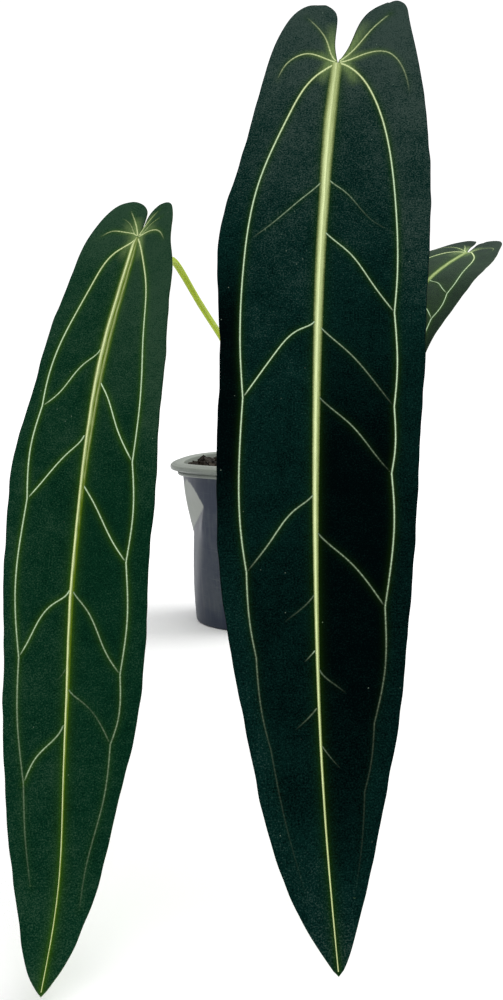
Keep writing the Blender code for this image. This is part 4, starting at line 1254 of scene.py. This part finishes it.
def velvet_group():
    """Soft nap of the leaf: its ground by lightness, broad patches, the faintest net of veins, fine hairs."""
    name = "Velvet Nap"
    if name in bpy.data.node_groups:
        return bpy.data.node_groups[name]
    colours = tuple((label, "Color", BLACK) for label in ("Shade", "Velvet", "Bloom", "Hair"))
    tree, given, result = node_group(name, (*colours, ("Contrast", "Float", 1.0)), SURFACE)
    flat = attribute(tree, "flat", "Vector")
    patches = vary(tree, noise(tree, flat, 60.0, 2.0), -0.11, 0.11)
    blotch = vary(tree, noise(tree, flat, 330.0, 3.0, 0.6), -0.12, 0.12)
    grain = noise(tree, flat, 1500.0, 2.0, 0.7)
    cells = shader_node(
        tree, "ShaderNodeTexVoronoi", {"Vector": flat, "Scale": 210.0, "Randomness": 0.9},
        feature="DISTANCE_TO_EDGE",
    ).outputs["Distance"]
    net = spread(tree, cells, 0.0, 0.08, 0.03, 0.0)
    change = add(tree, add(tree, patches, blotch), net)
    change = add(tree, change, vary(tree, grain, -0.4, 0.4))
    change = multiply(tree, change, given.outputs["Contrast"])
    # The layer read here is painted light and shade; patches, blotches, net and grain add the velvet's own
    # random tone
    level = attribute(tree, "tone")
    tone = add(tree, level, multiply(tree, change, spread(tree, level, 0.0, 0.5, 0.25, 1.0)))
    # The ground runs from the painted shade through the velvet to the palest colour, a painted sheen
    ground = mix_colours(tree, spread(tree, tone, 0.0, 0.5), given.outputs["Shade"], given.outputs["Velvet"])
    ground = mix_colours(tree, spread(tree, tone, 0.5, 1.0), ground, given.outputs["Bloom"])
    hairs = multiply(tree, spread(tree, grain, 0.5, 0.72), given.outputs["Contrast"])
    hairs = multiply(tree, hairs, spread(tree, tone, 0.0, 0.9, 0.06, 1.0))
    ground = mix_colours(tree, hairs, ground, given.outputs["Hair"], "ADD")
    dots = shader_node(tree, "ShaderNodeTexVoronoi", {"Vector": flat, "Scale": 420.0}, feature="F1")
    chosen = shader_node(tree, "ShaderNodeSeparateColor", {"Color": dots.outputs["Color"]}).outputs["Red"]
    speck = multiply(
        tree, spread(tree, dots.outputs["Distance"], 0.05, 0.13, 1.0, 0.0),
        calculate(tree, "GREATER_THAN", chosen, 0.975),
    )
    ground = mix_colours(tree, multiply(tree, speck, 0.22), ground, SPECK_COLOUR)
    height = add(tree, multiply(tree, grain, 0.6), multiply(tree, net, -1.8))
    close_group(tree, result, Color=ground, Roughness=vary(tree, grain, 0.7, 0.88), Height=height)
    return tree


def vein_group():
    """Colours the ridges of a leaf, the glow beside them, the margin and the underside."""
    name = "Leaf Veins"
    if name in bpy.data.node_groups:
        return bpy.data.node_groups[name]
    colours = ("Ground", "Glow", "Haze", "Band", "Light", "Fine", "Pale", "Edge", "Underside")
    tree, given, result = node_group(
        name, tuple((label, "Color", BLACK) for label in colours), (("Color", "Color"),),
    )
    ground, glow_colour, haze, band, light, fine, pale_fine, edge, underside = (
        given.outputs[label] for label in colours
    )
    flat = attribute(tree, "flat", "Vector")
    uneven = noise(tree, flat, 260.0, 2.0)
    fuzz = noise(tree, flat, 1100.0, 3.0, 0.6)
    streaks = noise(tree, stretch(tree, flat, (2600.0, 120.0, 1.0)), 1.0, 2.0)
    rays = stretch(tree, flat, (1500.0, 160.0, 1.0))
    glow = multiply(tree, attribute(tree, "glow"), vary(tree, fuzz, 0.8, 1.1), True)
    face = mix_colours(tree, glow, ground, GLOW_FILTER, "MULTIPLY")
    face = mix_colours(tree, glow, face, glow_colour, "ADD")
    spotted = multiply(tree, attribute(tree, "haze"), vary(tree, fuzz, 0.72, 1.2))
    spotted = multiply(tree, spotted, vary(tree, noise(tree, rays, 1.0, 2.0), 0.7, 1.2), True)
    face = mix_colours(tree, spotted, face, haze)
    bright = add(tree, attribute(tree, "light"), vary(tree, streaks, -0.16, 0.16), True)
    vein = mix_colours(tree, bright, band, light)
    vein = mix_colours(tree, attribute(tree, "thin"), vein, mix_colours(tree, bright, fine, pale_fine))
    mask = attribute(tree, "vein")
    soft = multiply(tree, mask, calculate(tree, "SUBTRACT", 1.0, mask))
    broken = multiply(tree, soft, vary(tree, fuzz, -0.7, 0.7))
    face = mix_colours(tree, add(tree, mask, broken, True), face, vein)
    face = mix_colours(tree, multiply(tree, attribute(tree, "edge"), 0.85), face, edge)
    pale = mix_colours(tree, vary(tree, uneven, 0.0, 0.35), underside, band)
    back = mix_colours(tree, multiply(tree, mask, 0.7), pale, light)
    close_group(tree, result, Color=mix_colours(tree, attribute(tree, "under"), face, back))
    return tree


def fibre_group():
    """Streaks that run along a stalk, root or scale."""
    name = "Plant Fibre"
    if name in bpy.data.node_groups:
        return bpy.data.node_groups[name]
    tree, given, result = node_group(
        name, (("Ground", "Color", BLACK), ("Streak", "Color", BLACK), ("Amount", "Float", 0.5)), SURFACE,
    )
    flat = attribute(tree, "flat", "Vector")
    streaks = noise(tree, stretch(tree, flat, (1400.0, 55.0, 1400.0)), 1.0, 3.0)
    spots = noise(tree, flat, 500.0, 2.0)
    share = multiply(tree, spread(tree, streaks, 0.35, 0.7), given.outputs["Amount"])
    colour = mix_colours(tree, share, given.outputs["Ground"], given.outputs["Streak"])
    dark = mix_colours(tree, spread(tree, spots, 0.55, 0.75, 0.0, 0.25), colour, given.outputs["Streak"])
    close_group(
        tree, result, Color=dark, Roughness=vary(tree, spots, 0.42, 0.6),
        Height=add(tree, streaks, multiply(tree, spots, 0.4)),
    )
    return tree


def place_group(tree, group, **sockets):
    """The outputs of a group that is put into a tree with these inputs."""
    return shader_node(tree, "ShaderNodeGroup", sockets, node_tree=group).outputs


def new_material(name):
    """A material with its Principled shader, emptied of everything else."""
    material = bpy.data.materials.new(name)
    material.use_nodes = True
    return material, material.node_tree, material.node_tree.nodes["Principled BSDF"]


def cover(tree, shader, colour, roughness, specular):
    """Gives a shader its colour and roughness from sockets, and its specular level."""
    tree.links.new(colour, shader.inputs["Base Color"])
    tree.links.new(roughness, shader.inputs["Roughness"])
    shader.inputs["Specular IOR Level"].default_value = specular


def add_bump(tree, shader, height, strength, distance):
    bump = shader_node(tree, "ShaderNodeBump", {"Height": height, "Strength": strength, "Distance": distance})
    tree.links.new(bump.outputs["Normal"], shader.inputs["Normal"])


def opaque(colour, factor=1.0):
    """A colour made darker or lighter by a factor, with full alpha."""
    return (*(min(1.0, part * factor) for part in colour[:3]), 1.0)


def leaf_material(leaf, settings, name, contrast, specular, sheen):
    material, tree, shader = new_material(name)
    shade, velvet, bloom, glow, band = (
        opaque(getattr(settings, leaf + "_" + part)) for part in ("shade", "velvet", "bloom", "glow", "band")
    )
    # The palest colour of the leaf is a painted sheen and light
    nap = place_group(
        tree, velvet_group(), Shade=shade, Velvet=velvet, Bloom=bloom, Hair=opaque(bloom, 0.26),
        Contrast=contrast,
    )
    veins = place_group(
        tree, vein_group(), Ground=nap["Color"], Glow=glow, Haze=opaque(settings.haze), Band=band,
        Light=opaque(settings.midrib_light), Fine=opaque(settings.vein_green),
        Pale=opaque(settings.vein_light), Edge=opaque(settings.leaf_edge),
        Underside=opaque(settings.underside),
    )
    cover(tree, shader, veins["Color"], nap["Roughness"], specular)
    shader.inputs["Sheen Weight"].default_value = sheen
    shader.inputs["Sheen Roughness"].default_value = 0.4
    shader.inputs["Sheen Tint"].default_value = NAP_SHEEN
    add_bump(tree, shader, nap["Height"], 0.35, 0.0004)
    return material


def fibre_material(name, ground, streak, amount, bump):
    material, tree, shader = new_material(name)
    fibre = place_group(tree, fibre_group(), Ground=opaque(ground), Streak=opaque(streak), Amount=amount)
    cover(tree, shader, fibre["Color"], fibre["Roughness"], 0.18)
    add_bump(tree, shader, fibre["Height"], bump, 0.0004)
    return material


def pot_material(settings):
    material, tree, shader = new_material("Grey Pot Plastic")
    where = shader_node(tree, "ShaderNodeTexCoord").outputs["Object"]
    cloud = noise(tree, where, 42.0, 3.0)
    fine = noise(tree, where, 900.0, 2.0)
    smears = noise(tree, stretch(tree, where, (420.0, 420.0, 16.0)), 1.0, 2.0)
    scratches = noise(tree, stretch(tree, where, (60.0, 60.0, 900.0)), 1.0, 2.0)
    # This layer is painted light and painted reflection; cloud, smears and scratches are the plastic's own
    # marks
    bare = add(tree, attribute(tree, "bare"), vary(tree, cloud, -0.12, 0.12), True)
    bare = add(tree, bare, spread(tree, smears, 0.5, 0.8, 0.0, 0.1), True)
    bare = add(tree, bare, spread(tree, scratches, 0.6, 0.75, 0.0, 0.08), True)
    colour = mix_colours(tree, bare, opaque(settings.pot), opaque(settings.lit_and_smeared_pot))
    cover(tree, shader, colour, vary(tree, cloud, 0.36, 0.5), 0.3)
    add_bump(tree, shader, fine, 0.12, 0.0003)
    return material


def bark_material(settings):
    material, tree, shader = new_material("Damp Bark")
    where = shader_node(tree, "ShaderNodeTexCoord").outputs["Object"]
    coarse = noise(tree, where, 240.0, 4.0, 0.65)
    fine = noise(tree, where, 1500.0, 3.0, 0.7)
    dark = opaque(settings.bark, 0.18)
    light = opaque(settings.bark, 1.9)
    colour = mix_colours(tree, attribute(tree, "tint"), dark, opaque(settings.bark))
    colour = mix_colours(tree, spread(tree, coarse, 0.52, 0.75, 0.0, 0.7), colour, light)
    colour = mix_colours(tree, spread(tree, fine, 0.45, 0.7, 0.0, 0.6), colour, dark)
    cover(tree, shader, colour, vary(tree, fine, 0.7, 0.95), 0.3)
    add_bump(tree, shader, coarse, 0.6, 0.0012)
    return material


def floor_material(settings):
    material, tree, shader = new_material("Pale Floor")
    where = shader_node(tree, "ShaderNodeTexCoord").outputs["Object"]
    cloud = noise(tree, where, 9.0, 2.0)
    colour = mix_colours(tree, cloud, opaque(settings.floor), opaque(settings.floor, 0.985))
    tree.links.new(colour, shader.inputs["Base Color"])
    reach = shader_node(tree, "ShaderNodeVectorMath", {0: where}, operation="LENGTH").outputs["Value"]
    shader.inputs["Emission Color"].default_value = WHITE
    tree.links.new(spread(tree, reach, 0.5, 1.6, 0.0, 0.3), shader.inputs["Emission Strength"])
    shader.inputs["Roughness"].default_value = 0.9
    shader.inputs["Specular IOR Level"].default_value = 0.1
    return material


class ANTHURIUM_OT_stage(bpy.types.Operator):
    """Add the pale floor, the soft lights and the camera"""
    bl_idname = "anthurium.stage"
    bl_label = "Add Stage"
    bl_options = {"REGISTER", "UNDO"}

    def execute(self, context):
        settings = context.scene.anthurium
        work = bmesh.new()
        bmesh.ops.create_grid(work, x_segments=8, y_segments=8, size=6.0)
        bmesh.ops.translate(work, verts=work.verts, vec=(0.0, 0.0, -0.0003))
        floor = new_object(context, work, "pale_floor", 30)
        floor.data.materials.append(floor_material(settings))
        context.scene.world = self.studio_world()
        self.add_light(context)
        self.add_camera(context)
        context.scene.view_settings.view_transform = "Standard"
        return {"FINISHED"}

    @staticmethod
    def studio_world():
        """White behind the plant; its light comes from a broad soft box overhead and a dim room."""
        world = bpy.data.worlds.new("Studio White")
        world.use_nodes = True
        tree = world.node_tree
        facing = shader_node(tree, "ShaderNodeTexCoord").outputs["Generated"]
        height = shader_node(tree, "ShaderNodeSeparateXYZ", {"Vector": facing}).outputs["Z"]
        room = spread(tree, height, 0.15, 0.65, ROOM_LIGHT, OVERHEAD_LIGHT)
        seen = shader_node(tree, "ShaderNodeLightPath").outputs["Is Camera Ray"]
        sockets = {"Factor": seen, "A": room, "B": BACKDROP}
        strength = shader_node(tree, "ShaderNodeMix", sockets).outputs[0]
        backdrop = tree.nodes["Background"]
        backdrop.inputs["Color"].default_value = WHITE
        tree.links.new(strength, backdrop.inputs["Strength"])
        return world

    @staticmethod
    def add_light(context):
        data = bpy.data.lights.new("key_light", "AREA")
        data.shape = "DISK"
        data.size = KEY_SIZE
        data.energy = KEY_POWER
        item = bpy.data.objects.new("key_light", data)
        item.location = KEY_PLACE
        aim = Vector(KEY_AIM) - item.location
        item.rotation_euler = aim.to_track_quat("-Z", "Y").to_euler()
        context.scene.collection.objects.link(item)

    @staticmethod
    def add_camera(context):
        data = bpy.data.cameras.new("photo_camera")
        data.sensor_fit = "VERTICAL"
        data.sensor_height = SENSOR_HEIGHT
        data.lens = CAMERA_LENS
        data.clip_start = 0.05
        item = bpy.data.objects.new("photo_camera", data)
        item.location = CAMERA_PLACE
        item.rotation_euler = (math.radians(90 - CAMERA_PITCH), 0.0, 0.0)
        context.scene.collection.objects.link(item)
        context.scene.camera = item


class ANTHURIUM_OT_pot(bpy.types.Operator):
    """Add the nursery pot with its rolled rim, its dent and its drain holes"""
    bl_idname = "anthurium.pot"
    bl_label = "Add Pot"
    bl_options = {"REGISTER", "UNDO"}

    def execute(self, context):
        work = bmesh.new()
        # A layer of painted light and painted reflection
        layer = work.verts.layers.float.new("bare")
        lathe(work, pot_profile(), POT_SIDES, True)
        press_dent(work, layer)
        pot = new_object(context, work, "pot_shell", 32)
        cutters = []
        for index in range(DRAIN_COUNT):
            angle = 2 * math.pi * index / DRAIN_COUNT + DRAIN_TURN
            place = Matrix.Translation((DRAIN_RING * math.cos(angle), DRAIN_RING * math.sin(angle), 0.0))
            hole = bmesh.new()
            bmesh.ops.create_cone(
                hole, cap_ends=True, segments=DRAIN_SIDES, radius1=DRAIN_RADIUS, radius2=DRAIN_RADIUS,
                depth=DRAIN_CUT_DEPTH, matrix=place,
            )
            cutter = new_object(context, hole, "drain_cutter_%d" % index, 30)
            cut = pot.modifiers.new("Drain %d" % index, "BOOLEAN")
            cut.operation = "DIFFERENCE"
            cut.solver = "EXACT"
            cut.object = cutter
            cutters.append(cutter)
        context.view_layer.update()
        apply_modifiers(pot)
        for cutter in cutters:
            bpy.data.objects.remove(cutter, do_unlink=True)
        declare(pot, pot_material(context.scene.anthurium), "pot")
        return {"FINISHED"}


def add_chunk(work, layer, dice, place, size):
    """One angular piece of bark with chipped edges, turned at random."""
    turn = Matrix.Rotation(dice.uniform(0, math.pi), 4, "Z")
    turn = turn @ Matrix.Rotation(dice.uniform(-0.9, 0.9), 4, "X")
    turn = turn @ Matrix.Rotation(dice.uniform(-0.9, 0.9), 4, "Y")
    shape = Matrix.Diagonal((1.0, dice.uniform(0.5, 0.85), dice.uniform(0.3, 0.6), 1.0))
    matrix = Matrix.Translation(place) @ turn @ shape
    corners = bmesh.ops.create_cube(work, size=size)["verts"]
    for corner in corners:
        jitter = Vector((dice.uniform(-1, 1), dice.uniform(-1, 1), dice.uniform(-1, 1)))
        corner.co = matrix @ (corner.co + jitter * size * 0.24)
    edges = list({edge for corner in corners for edge in corner.link_edges})
    edges.sort(key=lambda edge: tuple(edge.verts[0].co) + tuple(edge.verts[1].co))
    chipped = bmesh.ops.bevel(
        work, geom=edges, offset=size * 0.07, affect="EDGES", segments=1, profile=0.5, material=-1,
    )
    tint = dice.random()
    for corner in chipped["verts"]:
        corner[layer] = tint


class ANTHURIUM_OT_bark(bpy.types.Operator):
    """Add the loose bark on top of the mix"""
    bl_idname = "anthurium.bark"
    bl_label = "Add Bark"
    bl_options = {"REGISTER", "UNDO"}

    def execute(self, context):
        settings = context.scene.anthurium
        dice = random.Random(settings.seed)
        material = bark_material(settings)
        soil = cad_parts["soil"]
        for slot in soil.material_slots:
            slot.material = material
        edge = wall_radius(SOIL_HEIGHT) - WALL
        work = bmesh.new()
        layer = work.verts.layers.float.new("tint")
        for _ in range(settings.chunk_count):
            size = dice.uniform(*CHUNK_SIZES)
            radius = CROWN_RADIUS + 0.003 + (edge - 0.006 - CROWN_RADIUS - 0.003) * math.sqrt(dice.random())
            angle = dice.uniform(0, 2 * math.pi)
            pile = 0.003 + 0.004 * dice.random() + 0.004 * (1 - (radius / edge) ** 2)
            place = (radius * math.cos(angle), radius * math.sin(angle), SOIL_HEIGHT + pile)
            add_chunk(work, layer, dice, place, size)
        chunks = new_object(context, work, "bark_chunks", 25)
        declare(chunks, material, None)
        return {"FINISHED"}


class ANTHURIUM_OT_crown(bpy.types.Operator):
    """Add the crown: its ringed stem, papery scales and first roots"""
    bl_idname = "anthurium.crown"
    bl_label = "Add Crown"
    bl_options = {"REGISTER", "UNDO"}

    def execute(self, context):
        work = bmesh.new()
        layer = work.verts.layers.float_vector.new("flat")
        profile = [(0.0, CROWN_TOP)]
        for step in range(1, 8):
            round_off = step / 7 * math.pi / 2
            radius = (CROWN_RADIUS + 0.0018) * math.sin(round_off)
            profile.append((radius, CROWN_TOP - 0.002 * (1 - math.cos(round_off))))
        for step in range(1, 30):
            down = 0.002 + 0.012 * step / 29
            ring = 0.0005 * abs(math.sin(step / 29 * math.pi * 3))
            profile.append((CROWN_RADIUS + 0.0013 - ring, CROWN_TOP - down))
        profile += [(CROWN_RADIUS, CROWN_TOP - 0.016), (CROWN_RADIUS, CROWN_FOOT + 0.002)]
        profile += [(CROWN_RADIUS - 0.002, CROWN_FOOT), (0.0, CROWN_FOOT)]
        lathe(work, profile, 48, False)
        for corner in work.verts:
            angle = math.atan2(corner.co.y, corner.co.x)
            corner[layer] = (math.sin(angle) * CROWN_RADIUS, corner.co.z, math.cos(angle) * CROWN_RADIUS)
        for turn in ROOT_TURNS:
            side = np.array((math.cos(turn), math.sin(turn), 0.0))
            start = side * (CROWN_RADIUS - 0.003) + np.array((0, 0, CROWN_TOP - 0.006))
            middle = side * (CROWN_RADIUS + 0.005) + np.array((0, 0, CROWN_TOP - 0.008))
            end = side * (CROWN_RADIUS + 0.009) + np.array((0, 0, CROWN_TOP - 0.014))
            curve, length = through([start, middle, end])
            places = np.linspace(0, length, 22)
            radii = ROOT_RADIUS * (1 - 0.35 * (places / length) ** 3) * (1 + 0.04 * np.sin(places * 1500))
            tube(work, layer, curve(places), rounded_ends(radii, length, places, 0.001, 0.002), 14)
        stem = new_object(context, work, "crown_stem", 40)
        material = fibre_material("Crown Bark", srgb(98, 104, 48), srgb(62, 44, 26), 0.8, 0.5)
        declare(stem, material, "stem")
        self.add_scales(context)
        return {"FINISHED"}

    @staticmethod
    def add_scales(context):
        work = bmesh.new()
        layer = work.verts.layers.float_vector.new("flat")
        for turn, height in CROWN_SCALES:
            made = bmesh.ops.create_grid(work, x_segments=20, y_segments=26, size=1.0)["verts"]
            for corner in made:
                across = corner.co.x
                up = (corner.co.y + 1) / 2
                angle = turn + across * (1 - up ** 1.8) * 1.15
                crease = 0.00022 * math.sin(across * 14 + up * 3)
                radius = CROWN_RADIUS + 0.0016 + 0.0035 * up ** 2 + crease * (1 - up)
                corner[layer] = (across * 0.009, up * height, turn)
                level = CROWN_TOP - 0.014 + height * up
                corner.co = (radius * math.cos(angle), radius * math.sin(angle), level)
        bmesh.ops.remove_doubles(work, verts=work.verts, dist=0.00002)
        bmesh.ops.recalc_face_normals(work, faces=work.faces)
        scales = new_object(context, work, "crown_scales", 60)
        thick = scales.modifiers.new("Thickness", "SOLIDIFY")
        thick.thickness = SCALE_THICKNESS
        thick.offset = 0.0
        apply_modifiers(scales)
        material = fibre_material("Papery Scale", srgb(150, 118, 70), srgb(84, 58, 32), 0.9, 0.6)
        declare(scales, material, None)


class ANTHURIUM_OT_blade(bpy.types.Operator):
    """Add one leaf blade with its raised veins"""
    bl_idname = "anthurium.blade"
    bl_label = "Add Blade"
    bl_options = {"REGISTER", "UNDO"}

    leaf: EnumProperty(name="Leaf", description="Which leaf to add", items=LEAF_ITEMS, default="front")

    def execute(self, context):
        settings = context.scene.anthurium
        blade = Blade(LEAVES[self.leaf])
        work, layers = new_leaf_mesh()
        add_blade(work, layers, blade, settings.blade_thickness / MM)
        add_veins(work, layers, blade, settings)
        add_midrib(work, layers, blade, settings)
        item = new_object(context, work, self.leaf + "_blade", 50)
        material = leaf_material(self.leaf, settings, *LEAF_LOOKS[self.leaf])
        declare(item, material, "leaf_%s_blade" % self.leaf)
        return {"FINISHED"}


class ANTHURIUM_OT_stalk(bpy.types.Operator):
    """Add one leaf stalk with the knuckle that holds its blade"""
    bl_idname = "anthurium.stalk"
    bl_label = "Add Stalk"
    bl_options = {"REGISTER", "UNDO"}

    leaf: EnumProperty(name="Leaf", description="Whose stalk to add", items=LEAF_ITEMS, default="front")

    def execute(self, context):
        settings = context.scene.anthurium
        work = bmesh.new()
        layer = work.verts.layers.float_vector.new("flat")
        add_stalk(work, layer, Blade(LEAVES[self.leaf]), settings)
        item = new_object(context, work, self.leaf + "_stalk", 60)
        name = "Stalk Green"
        material = bpy.data.materials.get(name)
        if material is None:
            material = fibre_material(name, settings.stalk, srgb(108, 128, 10), 0.6, 0.25)
        declare(item, material, "leaf_%s_petiole" % self.leaf)
        return {"FINISHED"}


class ANTHURIUM_PT_panel(bpy.types.Panel):
    """Sizes, colours and pieces of the plant"""
    bl_idname = "ANTHURIUM_PT_panel"
    bl_label = "Queen Anthurium"
    bl_space_type = "VIEW_3D"
    bl_region_type = "UI"
    bl_category = "Anthurium"

    def draw(self, context):
        settings = context.scene.anthurium
        column = self.layout.column(align=True)
        for name in AnthuriumSettings.__annotations__:
            column.prop(settings, name)
        column = self.layout.column(align=True)
        column.operator(ANTHURIUM_OT_stage.bl_idname)
        column.operator(ANTHURIUM_OT_pot.bl_idname)
        column.operator(ANTHURIUM_OT_bark.bl_idname)
        column.operator(ANTHURIUM_OT_crown.bl_idname)
        for leaf, label, _ in LEAF_ITEMS:
            column.operator(ANTHURIUM_OT_blade.bl_idname, text=label + " Blade").leaf = leaf
            column.operator(ANTHURIUM_OT_stalk.bl_idname, text=label + " Stalk").leaf = leaf


CLASSES = (
    AnthuriumSettings, ANTHURIUM_OT_stage, ANTHURIUM_OT_pot, ANTHURIUM_OT_bark, ANTHURIUM_OT_crown,
    ANTHURIUM_OT_blade, ANTHURIUM_OT_stalk, ANTHURIUM_PT_panel,
)


def register():
    for item in CLASSES:
        bpy.utils.register_class(item)
    bpy.types.Scene.anthurium = PointerProperty(type=AnthuriumSettings)


def unregister():
    del bpy.types.Scene.anthurium
    for item in reversed(CLASSES):
        bpy.utils.unregister_class(item)


def main():
    register()
    bpy.ops.anthurium.stage()
    bpy.ops.anthurium.pot()
    bpy.ops.anthurium.bark()
    bpy.ops.anthurium.crown()
    for leaf in LEAVES:
        bpy.ops.anthurium.blade(leaf=leaf)
        bpy.ops.anthurium.stalk(leaf=leaf)
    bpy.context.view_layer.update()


if __name__ == "__main__":
    main()
